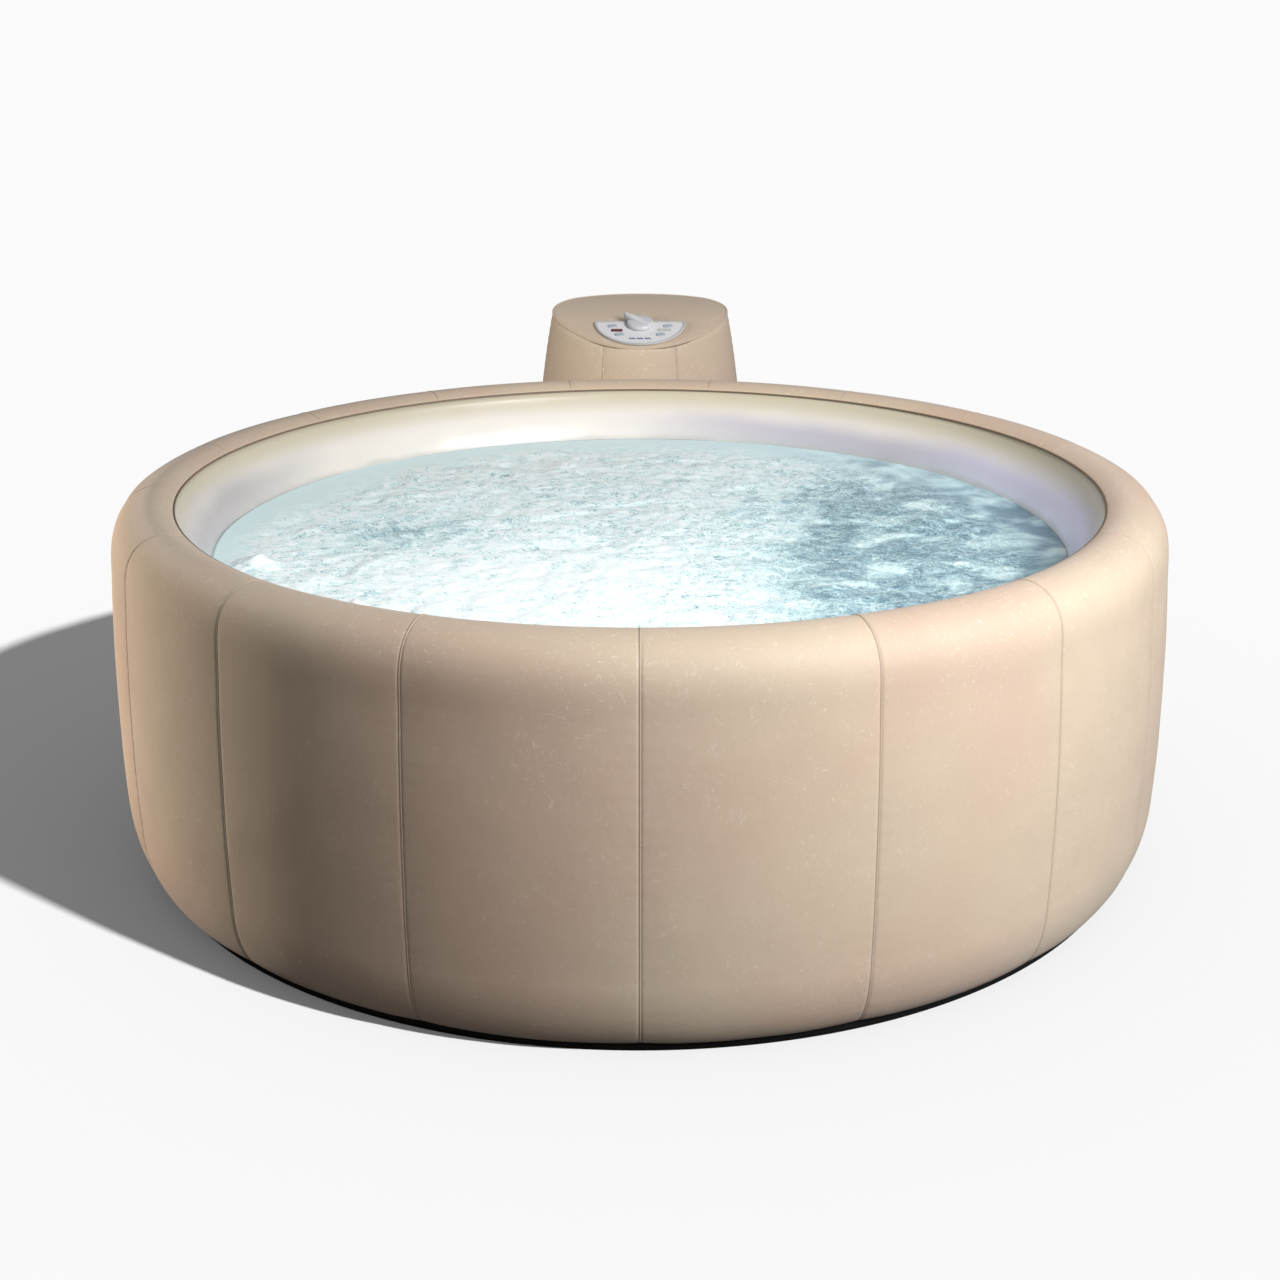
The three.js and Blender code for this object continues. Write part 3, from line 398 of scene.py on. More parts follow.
def moulded(name, colour, roughness, grain=0.5, spread=0.06):
    """Moulded plastic with a fine sparked grain and a little uneven gloss."""
    n = Nodes(name)
    darker = tuple(c * (1 - spread) for c in colour)
    base = n.mix(n.noise(25.0, 4.0), darker, colour)
    normal = n.bump(n.noise(1500.0, 3.0, 0.6), 0.00012, grain)
    gloss = n.range(n.noise(40.0, 4.0), 0.3, 0.7, roughness * 0.85, roughness * 1.15)
    return n.finish(Base_Color=base, Roughness=gloss, Normal=normal)


def brushed(name, colour, roughness):
    n = Nodes(name)
    lines = n.noise(300.0, 4.0, 0.6, 0.0, n.stretched(1.0, 0.04, 1.0))
    base = n.mix(n.noise(12.0, 4.0), tuple(c * 0.8 for c in colour), colour)
    gloss = n.range(lines, 0.3, 0.7, roughness * 0.7, roughness * 1.3)
    return n.finish(Base_Color=base, Metallic=1.0, Roughness=gloss,
                    Normal=n.bump(lines, 0.0001, 0.4))


def lens(name, colour, glow):
    n = Nodes(name)
    base = n.mix(n.noise(90.0, 2.0), tuple(c * 0.85 for c in colour), colour)
    return n.finish(Base_Color=base, Roughness=0.12, Coat_Weight=0.6, Coat_Roughness=0.05,
                    Emission_Color=base, Emission_Strength=glow)


def board():
    n = Nodes("board")
    tracks = n.cells(220.0, distance="MANHATTAN")
    base = n.mix(n.range(tracks, 0.2, 0.3), (0.10, 0.26, 0.13), (0.015, 0.10, 0.045))
    return n.finish(Base_Color=base, Roughness=0.4, Normal=n.bump(tracks, 0.0003, 0.4))


def foamy_water():
    """Churned froth over pale teal water. The mesh carries two point values: foam, and one that darkens the water
    where the froth parts and, as painted shade, towards the right side.
    """
    n = Nodes("foamy_water")
    foam, deep = n.point_value("foam"), n.point_value("deep")
    flow = n.stretched(0.95, 1.0, 1.0)
    drift = n.add("ShaderNodeTexNoise", {"Vector": flow, "Scale": 8.0, "Detail": 5.0, "Roughness": 0.65})
    pushed = n.add("ShaderNodeVectorMath", {0: drift.outputs["Color"], 1: (0.16, 0.16, 0.16)},
                   operation="MULTIPLY").outputs["Vector"]
    bent = n.add("ShaderNodeVectorMath", {0: flow, 1: pushed}, operation="ADD").outputs["Vector"]
    swirl = n.range(n.noise(15.0, 8.0, 0.66, 1.2, flow), 0.30, 0.70, smooth=False)
    lace = n.range(n.noise(78.0, 6.0, 0.74, 1.6, bent), 0.30, 0.70, smooth=False)
    froth = n.plus(n.times(swirl, 0.26), n.times(lace, 0.52))
    froth = n.plus(froth, n.times(n.edges(24.0, 0.15, bent), 0.22))
    froth = n.plus(froth, n.times(n.edges(80.0, 0.18, bent), 0.26))
    churn = n.math("SUBTRACT", froth, 0.52)
    churn = n.times(churn, n.range(foam, 0.0, 0.5, 0.05, 1.20))
    churn = n.times(churn, n.range(deep, 0.0, 0.7, 1.1, 0.50))
    level = n.plus(churn, n.range(foam, 0.0, 1.3, 0.655, 0.90, smooth=False))
    # Darker where the froth parts, and painted shade on the right side.
    level = n.math("SUBTRACT", level, n.times(deep, 0.42), clamp=True)
    colour = n.ramp(level, [
        (0.02, (0.035, 0.10, 0.13)), (0.20, (0.12, 0.22, 0.28)), (0.40, (0.36, 0.51, 0.57)),
        (0.58, (0.66, 0.84, 0.85)), (0.78, (0.87, 0.97, 0.97)), (0.95, (0.98, 1.0, 1.0)),
    ])
    normal = n.bump(swirl, 0.003, n.range(foam, 0.0, 0.7, 0.10, 0.40))
    normal = n.bump(lace, 0.0012, n.range(foam, 0.0, 0.8, 0.05, 0.50), normal)
    roughness = n.range(level, 0.3, 0.9, 0.10, 0.50)
    return n.finish(Base_Color=colour, Roughness=roughness, Normal=normal, IOR=1.33,
                    Specular_IOR_Level=0.4)


def keep(obj, material, body, *nodes, slot=None):
    """Gives a piece its material, the CAD body it rides on and the CAD nodes it stands for."""
    obj.data.materials.clear()
    obj.data.materials.append(material)
    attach(obj, body)
    if nodes:
        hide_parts(*nodes)
    return obj


# ---- the tub's jacket


def jacket_section():
    """Outer face of the jacket from the hem under the foot to the rim's inner lip."""
    foot_radius = PAD_RADIUS - 0.006
    foot_top = JACKET_LOW.z + FOOT_RISE
    rim_foot = JACKET_HIGH.z - RIM_DROP
    wall_foot = foot_radius + FOOT_REACH
    t = np.linspace(0, 1, 40)
    wall = np.column_stack([
        wall_foot - WALL_LEAN * t + WALL_BULGE * 4 * t * (1 - t),
        foot_top + (rim_foot - foot_top) * t,
    ])
    rim_centre = [wall_foot - WALL_LEAN - RIM_REACH, rim_foot]
    outside = resample(np.vstack([
        np.array([[0.800, JACKET_LOW.z], [foot_radius - 0.006, JACKET_LOW.z]]),
        arc([foot_radius, foot_top], [FOOT_REACH, FOOT_RISE], -90, 0, 30),
        wall[1:-1],
        arc(rim_centre, [RIM_REACH, RIM_DROP], 0, 79, 60, RIM_POWER),
    ]), 0.0065)
    above = np.argmax(outside[:, 1] > MID_WALL)
    lip_centre = [WELT_RADIUS + 0.002 + LIP_ROUND, JACKET_HIGH.z - LIP_FALL]
    lip_roll = arc(lip_centre, [LIP_ROUND, LIP_ROUND], 127, 185, 5)
    crest, lip = outside[-1], lip_roll[0]
    fall = bezier([crest, crest + [-0.010, 0.0014], lip + [0.010, 0.0075], lip], 12)
    rim = eased(resample(np.vstack([outside[above:], fall[1:]]), 0.0065), 10)
    return np.vstack([resample(np.vstack([outside[:above], rim]), 0.0055), lip_roll[1:]])


SEAM_STEPS = np.array([0, 0.6, 1.1, 1.45, 1.75, 2.4, 3.3, 4.6, 6.5, 9, 12.5, 17, 23, 31, 41, 53, 67, 83,
                       100, 118, 136, 152, 166]) / 166


def panel_angles():
    """Angles round the tub, close together at the seams. The first of each panel is its seam."""
    half = SEAM_STEPS * PANEL_ANGLE / 2
    one_panel = np.concatenate([half, (PANEL_ANGLE - half[1:-1])[::-1]])
    return np.concatenate([FRONT + PANEL_ANGLE * i + one_panel for i in range(PANELS)])


CORD_HALF_WIDTH = 0.0014
CORD_HEIGHT = 0.0010
PANEL_CROWN = 0.0018


def seam_relief(distance, along, number):
    """Height of a sewn panel below its fullest, by distance from the seam and along it."""
    sunk = -PANEL_CROWN * np.exp(-distance / 0.05)
    groove = -0.0010 * np.exp(-((distance / 0.0028) ** 2))
    pucker = 0.0002 * np.exp(-distance / 0.020) * np.sin(along * 2 * math.pi / 0.023 + 40 * number)
    return sunk + groove + pucker * (distance > 0.004)


def cord_relief(distance):
    return CORD_HEIGHT * np.sqrt(np.clip(1 - (distance / CORD_HALF_WIDTH) ** 2, 0, 1))


def panel_swell(rows, share):
    """Cloth simulation of one jacket panel, sewn down at its edges and pushed out by the foam."""
    section = resample(jacket_section(), 0.012)[1:]
    angles = FRONT + np.linspace(0, PANEL_ANGLE, 29)
    start = round_axis(section[:, :1], section[:, 1:], angles)
    panel = new_object("panel_cloth", start, grid_faces(len(section), len(angles)))
    sewn = panel.vertex_groups.new(name="sewn")
    edge = np.ones((len(section), len(angles)), bool)
    edge[1:-1, 1:-1] = False
    sewn.add(np.flatnonzero(edge.ravel()).tolist(), 1.0, "REPLACE")
    cloth = panel.modifiers.new("cloth", "CLOTH")
    settings = cloth.settings
    settings.quality, settings.mass = 6, 0.4
    settings.tension_stiffness = settings.compression_stiffness = 12
    settings.shear_stiffness, settings.bending_stiffness = 4, 1.5
    settings.use_pressure, settings.uniform_pressure_force = True, 4.0
    settings.vertex_group_mass = sewn.name
    settings.effector_weights.gravity = 0
    cloth.point_cache.frame_start, cloth.point_cache.frame_end = 1, 20
    for number in range(1, 21):
        bpy.context.scene.frame_set(number)
    shape = panel.evaluated_get(bpy.context.evaluated_depsgraph_get())
    moved = coordinates(shape.data)
    bpy.context.scene.frame_set(1)
    bpy.data.objects.remove(panel)
    swell = np.clip(np.linalg.norm(moved - start, axis=1), 0, 0.016).reshape(edge.shape)
    at_rows = np.linspace(0, len(section) - 1, rows)
    by_row = np.array([np.interp(at_rows, range(len(section)), column) for column in swell.T]).T
    return np.array([np.interp(share * (len(angles) - 1), range(len(angles)), row) for row in by_row])


def build_jacket(material):
    section = jacket_section()
    angles = panel_angles()
    normals = -left_normals(section)
    along = lengths_along(section)[:, None]
    share = ((angles - FRONT) % PANEL_ANGLE) / PANEL_ANGLE
    number = np.floor((angles - FRONT) / PANEL_ANGLE + 1e-6)
    from_seam = np.minimum(share, 1 - share) * PANEL_ANGLE * section[:, :1]
    relief = seam_relief(from_seam, along, number)
    swell = panel_swell(len(section), share)
    fade = smoothstep(0, 0.03, along) * smoothstep(0.015, 0.12, along[-1] - along)
    height = (relief + 0.3 * swell) * fade
    height -= np.maximum(height.max() - 0.0015, 0) * fade
    below_lip = smoothstep(0.0, 0.01, along[-1] - along)
    height += cord_relief(from_seam) * below_lip
    radius, z = (section[:, i:i + 1] + height * normals[:, i:i + 1] for i in (0, 1))
    wander = fractal(round_axis(radius, z, angles), 5.0, 3).reshape(radius.shape) * 0.0011 * fade
    radius, z = radius + wander * normals[:, :1], z + wander * normals[:, 1:]
    inner = resample(section - normals * SHEET, 0.05)[::-1]
    inside = np.zeros((len(inner), len(angles)))
    radius, z = np.vstack([radius, inner[:, :1] + inside]), np.vstack([z, inner[:, 1:] + inside])
    faces = grid_faces(len(radius), len(angles), wrap_rows=True, wrap_columns=True)
    jacket = outward(new_object("jacket", round_axis(radius, z, angles), faces))
    # Mask of the seam grooves, for the painted shade the leatherette puts there.
    seam = np.exp(-((from_seam / 0.0021) ** 2)) * below_lip
    point_values(jacket, "seam", np.vstack([seam, inside]))
    jacket.visible_diffuse = False  # keeps its tan bounce off the pale floor
    return keep(jacket, material, "tub", "outer_jacket", slot="leatherette")


def build_rim_cord(material):
    centre = [WELT_RADIUS, (WELT_LOW.z + WELT_HIGH.z) / 2 + CORD_LIFT]
    ring = arc(centre, [0.0015, 0.0015], 0, 360, 12)[:-1]
    cord = turn("rim_cord", ring, 360)
    return keep(outward(cord), material, "tub", "rim_welt", slot="welt_cord")


# ---- liner, pad and water


def liner_face():
    """Wetted face of the liner, from the rim cord down to the middle of the floor."""
    lifted = LINER_HIGH.z + CORD_LIFT + 0.003
    heights = [lifted, LINER_HIGH.z - 0.036, LINER_HIGH.z - 0.048, 0.480]
    radii = [WELT_RADIUS + 0.001, WELT_RADIUS - 0.009, LINER_RADIUS + 0.002, LINER_RADIUS]
    shoulder = bezier(np.column_stack([radii, heights]), 24)
    floor, fillet = LINER_LOW.z + 0.0015, 0.040
    corner = arc([LINER_RADIUS - fillet, floor + fillet], [fillet, fillet], 0, -90, 10)
    return np.vstack([shoulder, corner])


def build_liner(material):
    face = resample(liner_face(), 0.012)
    back = (face + left_normals(face) * 0.002)[::-1]
    floor = np.array([[0.02, face[-1, 1]]])
    section = np.vstack([face, floor, floor - [0, 0.0018], back])
    liner = turn("bowl_liner", section, ROUND_STEPS)
    co = coordinates(liner.data)
    radius = np.hypot(co[:, 0], co[:, 1])
    loose = smoothstep(LINER_HIGH.z, LINER_HIGH.z - 0.05, co[:, 2]) * smoothstep(0.40, 0.48, co[:, 2])
    waves = fractal(np.column_stack([co[:, 0], co[:, 1], co[:, 2] * 0.3]), 6.0, 3)
    inwards = 0.0022 * np.clip(1 + waves, 0, 2)
    co[:, :2] *= (1 - loose * inwards / radius)[:, None]
    liner.data.vertices.foreach_set("co", co.ravel())
    return keep(outward(liner, fill=True), material, "tub", "liner", slot="pearl_vinyl")


def build_pad(material):
    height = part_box("ground_pad")[1].z
    edge = arc([PAD_RADIUS - 0.005, height - 0.005], [0.005, 0.005], 0, 90, 5)
    section = np.vstack([[0.05, 0], [PAD_RADIUS - 0.002, 0], [PAD_RADIUS, 0.002], edge, [0.05, height]])
    pad = turn("floor_pad", section, ROUND_STEPS)
    return keep(outward(pad), material, "tub", "ground_pad", slot="mat")


# Churned places on the water as (x, y, radius, strength): foam is white froth, deep is where it parts
# and darker water shows, partly painted shade where these crowd the right side, and a splash is a peak
# whose strength is its height.
FOAM_PLACES = [
    (-0.16, -0.36, 0.28, 0.75), (0.06, -0.44, 0.25, 0.22), (0.02, -0.02, 0.25, 0.12),
    (-0.638, -0.177, 0.040, 0.6), (-0.15, 0.505, 0.05, 0.5),
]
DEEP_AND_SHADED_PLACES = [
    (0.60, 0.10, 0.22, 0.62), (0.48, -0.32, 0.24, 0.80), (0.38, 0.22, 0.12, 0.50),
    (0.36, -0.08, 0.24, 0.55), (-0.40, 0.02, 0.13, 0.85), (-0.12, 0.27, 0.10, 0.35),
    (0.15, 0.24, 0.12, 0.30), (0.32, -0.38, 0.12, 0.35), (-0.02, 0.02, 0.08, 0.25),
    (0.45, -0.15, 0.13, 0.40), (0.44, 0.40, 0.16, 0.30),
]
SPLASHES = [
    (-0.638, -0.177, 0.032, 0.016), (-0.15, 0.505, 0.030, 0.008), (-0.44, -0.40, 0.014, 0.018),
    (0.30, -0.30, 0.030, 0.007), (0.52, 0.10, 0.03, 0.008),
]


def blobs(x, y, places):
    total = np.zeros_like(x)
    for px, py, radius, strength in places:
        total += strength * np.exp(-(((x - px) ** 2 + (y - py) ** 2) / radius**2))
    return total


def disc_grid(count, radius):
    """A square grid of points mapped onto a disc, row by row."""
    side = np.linspace(-1, 1, count)
    a, b = np.meshgrid(side, side, indexing="xy")
    x = a * np.sqrt(1 - b * b / 2)
    y = b * np.sqrt(1 - a * a / 2)
    return x.ravel() * radius, y.ravel() * radius


def build_water(material):
    count = 250
    rim = LINER_RADIUS + 0.0022
    x, y = disc_grid(count, rim)
    flat = np.column_stack([x, y, np.zeros_like(x)])
    warp = np.column_stack([fractal(flat, 6.0, 2, 3.1), fractal(flat, 6.0, 2, 7.7), np.zeros_like(x)])
    bent = flat * [0.95, 1.05, 1] + 0.05 * warp
    swell = fractal(bent, 5.0, 2)
    chop = fractal(bent, 16.0, 4, 11.0)
    froth = fractal(bent, 42.0, 3, 5.0)
    from_wall = rim - np.hypot(x, y)
    calm_width = 0.05 + 0.13 * smoothstep(-0.1, 0.6, y) + 0.09 * smoothstep(-0.25, -0.65, x)
    calm_width += 0.10 * smoothstep(0.35, 0.75, x) + 0.05 * fractal(flat, 3.0, 2, 21.0)
    busy = smoothstep(0.02, 1.0, from_wall / np.maximum(calm_width, 0.03))
    foam = busy * np.clip(0.46 + 0.20 * swell + 0.30 * chop + blobs(x, y, FOAM_PLACES), 0, 1.25)
    deep = np.clip(blobs(x, y, DEEP_AND_SHADED_PLACES) * (0.75 + 0.9 * chop), 0, 1)
    # Painted shade: the water is darkened more towards the right side.
    deep = np.clip(deep + 0.30 * smoothstep(0.10, 0.55, x) * (1 + chop), 0, 1)
    foam = np.clip(foam + blobs(x, y, FOAM_PLACES[-2:]), 0, 1.25)
    height = 0.0040 * swell * (0.25 + 0.75 * busy) + busy * (0.0032 * chop + 0.0016 * froth)
    height -= 0.003 * deep
    height += blobs(x, y, SPLASHES) * (0.55 + 0.9 * np.abs(froth))
    points = np.column_stack([x, y, WATER_LEVEL + height])
    faces = grid_faces(count, count).tolist()
    number = np.arange(count * count).reshape(count, count)
    border = np.concatenate([number[0], number[1:, -1], number[-1, -2::-1], number[-2:0:-1, 0]])
    below = points[border] * [0.94, 0.94, 0] + [0, 0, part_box("water")[0].z]
    base, size = len(points), len(border)
    faces += [[border[i], base + i, base + (i + 1) % size, border[(i + 1) % size]] for i in range(size)]
    faces.append([base + i for i in range(size)])
    water = new_object("bubbling_water", np.vstack([points, below]), faces)
    for name, values in (("foam", foam), ("deep", deep)):
        point_values(water, name, np.concatenate([values, np.zeros(size)]))
    return keep(outward(water), material, "tub", "water", slot="water")


# ---- the pump pod

HOOD_LOW, HOOD_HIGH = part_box("hood_shell")
CROWN_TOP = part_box("hood_top")[1].z
POD_Y = (HOOD_LOW.y + HOOD_HIGH.y) / 2
POD_DEPTH = HOOD_HIGH.y - HOOD_LOW.y
POD_HALF_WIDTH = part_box("pod_base")[1].x * 1.0073  # from the CAD's flats out to its true curve
DEPTH_SHARE = POD_DEPTH / (2 * POD_HALF_WIDTH)
POD_SHOULDER = 0.712
POD_TAPER, POD_TAPER_POWER = 0.050, 2.84
CROWN_CAMBER = 0.004  # how far the crown falls away to its left and right ends
PLAN_PINCH = 0.17  # how much narrower than an ellipse the pod's plan is at its two ends
PADDING_RELIEF = 0.0028  # how far the hood's padded panels stand out from their seams

knob_joint = next(joint for joint in frame["joints"] if joint["name"] == "air_knob_turn")
PANEL_NORMAL = Vector(knob_joint["axis"])
PANEL_SLOPE = math.atan2(-PANEL_NORMAL.y, PANEL_NORMAL.z)
KNOB_BACK = 0.016  # the knob's centre is this far in front of the panel's straight edge
PANEL_UP = Vector((0, math.cos(PANEL_SLOPE), math.sin(PANEL_SLOPE)))
PANEL_ORIGIN = Vector(knob_joint["pos_m"]) + PANEL_UP * KNOB_BACK
PANEL_FRAME = Matrix.Translation(PANEL_ORIGIN) @ Matrix.Rotation(PANEL_SLOPE, 4, "X")
PANEL_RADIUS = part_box("panel_bezel")[1].x * 1.005


def pod_half_width(z):
    return POD_HALF_WIDTH - POD_TAPER * (np.clip(z, 0, None) / POD_SHOULDER) ** POD_TAPER_POWER


def crown_height(x, y):
    """Height of the pod's top: the panel's slope in front, easing into a nearly flat back."""
    bend, back, rise = 1.095, 1.230, math.tan(PANEL_SLOPE)
    slope = PANEL_ORIGIN.z + (y - PANEL_ORIGIN.y) * rise
    start = PANEL_ORIGIN.z + (bend - PANEL_ORIGIN.y) * rise
    t = np.clip((y - bend) / (back - bend), 0, 1)
    curve = start * (1 - t) ** 2 + 2 * (start + 0.055 * rise) * t * (1 - t) + CROWN_TOP * t * t
    fall = CROWN_TOP - (y - back) * 0.0176
    along_middle = np.where(y < bend, slope, np.where(y < back, curve, fall))
    return along_middle - CROWN_CAMBER * (x / POD_HALF_WIDTH) ** 4


def pod_point(angle, z, inset=0.0):
    """Point x, y, z on the pod's side, at an angle round it and a height."""
    half = pod_half_width(z) - inset
    forward = np.sin(angle) * (1 - PLAN_PINCH * np.cos(angle) ** 2)
    return half * np.cos(angle), POD_Y + half * DEPTH_SHARE * forward, z


def edge_height(angle):
    """Height at which the pod's side meets its crown."""
    z = np.full_like(angle, CROWN_TOP - 0.02)
    for _ in range(30):
        x, y, _ = pod_point(angle, z)
        z = 0.5 * z + 0.5 * crown_height(x, y)
    return z


HOOD_SEAMS = np.radians([-112.5, -67.5, 0, 67.5, 112.5, 180])


def from_hood_seam(angles):
    """Angle from each of these directions to the nearest vertical seam."""
    return np.abs(np.angle(np.exp(1j * (angles[:, None] - HOOD_SEAMS)))).min(axis=1)


def hood_angles():
    """Angles round the pod, close together beside each vertical seam."""
    seam_steps = np.radians([0, 0.25, 0.5, 0.8, 1.3, 2.2, 3.5])
    fine = np.concatenate([[s + d, s - d] for s in HOOD_SEAMS for d in seam_steps], axis=None)
    even = np.radians(np.arange(-180, 180, 3.0))
    clear = even[from_hood_seam(even) > np.radians(4.5)]
    return np.unique(np.round(np.concatenate([fine, clear]) % (2 * math.pi), 6))


def build_hood_sides(material):
    angles = hood_angles()
    low, top = HOOD_LOW.z, edge_height(angles)
    distance = from_hood_seam(angles) * POD_HALF_WIDTH
    z = low + (top - 0.004 - low) * np.linspace(0, 1, 70)[:, None]
    relief = PADDING_RELIEF * (1 - np.exp(-distance / 0.03)) - 0.0012 * np.exp(-((distance / 0.005) ** 2))
    cord = 0.0022 * np.sqrt(np.clip(1 - (distance / 0.0016) ** 2, 0, 1))
    tuck = -PADDING_RELIEF * np.exp(-np.minimum(z - low, top - z) / 0.005)
    pucker = 0.0005 * np.exp(-distance / 0.02) * np.sin(z * 2 * math.pi / 0.019)
    outer = np.stack(pod_point(angles, z, PADDING_RELIEF - relief - cord - tuck - pucker), axis=-1)
    inner_z = low + (top - 0.006 - low) * np.linspace(1, 0, 12)[:, None]
    inner = np.stack(pod_point(angles, inner_z, 0.008), axis=-1)
    sides = lofted("hood_sides", np.vstack([outer, inner]), closed=True)
    cut_hose_arch(sides)
    x, y, z = coordinates(sides.data).T
    sideways = x / pod_half_width(z)
    forward = (y - POD_Y) / DEPTH_SHARE / pod_half_width(z)
    around = np.arctan2(forward / (1 - PLAN_PINCH * sideways**2), sideways)
    from_seam = from_hood_seam(around) * POD_HALF_WIDTH
    # Mask of the hood's seam grooves, for painted shade in the leatherette.
    point_values(sides, "seam", 0.8 * np.exp(-((from_seam / 0.0022) ** 2)))
    return keep(sides, material, "hood", "hood_shell", slot="leatherette")


def cut_hose_arch(obj):
    """Opens the hood's front foot over the hoses, with a round-topped arch."""
    low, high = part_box("suction_union_nut")[0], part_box("return_union_nut")[1]
    left, right = low.x - 0.010, high.x + 0.010
    top, front = high.z + 0.035, HOOD_LOW.y - 0.05
    round_top = arc([(left + right) / 2, top - 0.05], [(right - left) / 2, 0.05], 0, 180, 16)
    outline = np.vstack([[right, -0.05], round_top, [left, -0.05]])
    cutter = lofted("arch_cutter", [[[x, y, z] for x, z in outline] for y in (front, front + 0.13)])
    arch = obj.modifiers.new("arch", "BOOLEAN")
    arch.object, arch.operation, arch.solver = cutter, "DIFFERENCE", "MANIFOLD"
    mesh = evaluated_mesh(obj)
    obj.modifiers.clear()
    obj.data = mesh
    bpy.data.objects.remove(cutter)


def evaluated_mesh(obj):
    """A copy of the mesh that obj's modifiers or curve make."""
    shape = obj.evaluated_get(bpy.context.evaluated_depsgraph_get())
    return bpy.data.meshes.new_from_object(shape)


def build_hood_crown(material):
    """Padded top of the hood, a closed lid built in rings from below its middle, out, and back."""
    angles = full_turn(180)
    edge_x, edge_y, _ = pod_point(angles, edge_height(angles))
    middle_y = (edge_y.max() + edge_y.min()) / 2
    share = np.concatenate([np.linspace(0, 0.90, 28), np.linspace(0.93, 1, 6)])[:, None]
    x, y = edge_x * share, middle_y + (edge_y - middle_y) * share
    from_edge = (1 - share) * np.hypot(edge_x, edge_y - middle_y)
    top = crown_height(x, y) - 0.003 * np.exp(-from_edge / 0.006)
    under, over = (np.stack([x, y, top - depth], axis=-1) for depth in (0.006, 0))
    points = np.vstack([under, over[::-1]]).reshape(-1, 3)
    crown = new_object("hood_crown", points, grid_faces(2 * len(share), len(angles), wrap_columns=True))
    return keep(outward(crown, merge=True), material, "hood", "hood_top", slot="leatherette")


def tube_along(name, path, radius, sides=10, closed=False):
    """A round bar along a list of 3-D points, with flat ends unless it is closed."""
    path = np.asarray(path, float)
    if closed:
        along = np.roll(path, -1, 0) - np.roll(path, 1, 0)
    else:
        along = np.gradient(path, axis=0)
    along /= np.linalg.norm(along, axis=1)[:, None]
    normal = np.cross(along[0], [0.31, 0.17, 0.93])
    turn_by = full_turn(sides)[:, None]
    rings = []
    for point, direction in zip(path, along):
        normal = normal - direction * normal.dot(direction)
        normal /= np.linalg.norm(normal)
        side = np.cross(direction, normal)
        rings.append(point + radius * (np.cos(turn_by) * normal + np.sin(turn_by) * side))
    return lofted(name, rings, closed)


def build_hood_piping(material):
    """Cord sewn round the edge where the sides meet the crown."""
    angles = full_turn(180)
    edge = np.column_stack(pod_point(angles, edge_height(angles), 0.0020))
    cord = tube_along("hood_piping", edge - [0, 0, 0.0020], 0.0022, closed=True)
    return keep(cord, material, "hood", slot="leatherette")


# ---- control panel


def plate(name, outlines, bottom, top, bevel):
    """A flat plate with a rounded edge, from closed outlines in the panel's own plane."""
    curve = bpy.data.curves.new(name, "CURVE")
    curve.dimensions, curve.fill_mode = "2D", "BOTH"
    for outline in outlines:
        spline = curve.splines.new("POLY")
        spline.points.add(len(outline) - 1)
        for point, (x, y) in zip(spline.points, outline):
            point.co = (x, y, 0, 1)
        spline.use_cyclic_u = True
    curve.extrude = (top - bottom) / 2 - bevel
    curve.bevel_depth, curve.bevel_resolution, curve.offset = bevel, 2, -bevel
    shape = bpy.data.objects.new(name + "_curve", curve)
    LINK(shape)
    bpy.context.view_layer.update()
    mesh = evaluated_mesh(shape)
    bpy.data.objects.remove(shape)
    mesh.transform(PANEL_FRAME @ Matrix.Translation((0, 0, (top + bottom) / 2)))
    mesh.shade_flat()
    obj = bpy.data.objects.new(name, mesh)
    LINK(obj)
    return outward(obj, merge=True)


def half_disc(inset):
    """Half disc below a straight top edge, with rounded corners, taken in by inset."""
    radius, corner = PANEL_RADIUS - inset, 0.010
    start = math.degrees(math.asin((corner + inset) / radius))
    bottom = arc([0, 0], [radius, radius], 180 + start, 360 - start, 60)
    right_turn = bezier([bottom[-1], [radius, -inset], [radius - corner, -inset]], 8)[1:]
    left_turn = bezier([[corner - radius, -inset], [-radius, -inset], bottom[0]], 8)[:-1]
    return np.vstack([bottom, right_turn, left_turn])


def in_panel(node):
    """A CAD node's box centre and half sizes in the panel's own frame, in metres."""
    back = PANEL_FRAME.inverted()
    points = np.array([back @ vertex.co for vertex in frame["nodes"][node].data.vertices])
    low, high = points.min(axis=0), points.max(axis=0)
    return (low + high) / 2, (high - low) / 2


BUTTONS = {"button_warmer": "warmer_key", "button_cooler": "cooler_key", "button_jets": "jets_key",
           "button_light": "light_key"}


def ellipse(centre, radii):
    return arc(centre[:2], radii[:2], 0, 360, 40)[:-1]


def rounded_box(centre, half):
    corner, parts = 0.002, []
    for sx, sy, start in ((1, 1, 0), (-1, 1, 90), (-1, -1, 180), (1, -1, 270)):
        middle = [centre[0] + sx * (half[0] - corner), centre[1] + sy * (half[1] - corner)]
        parts.append(arc(middle, [corner, corner], start, start + 90, 5))
    return np.vstack(parts)


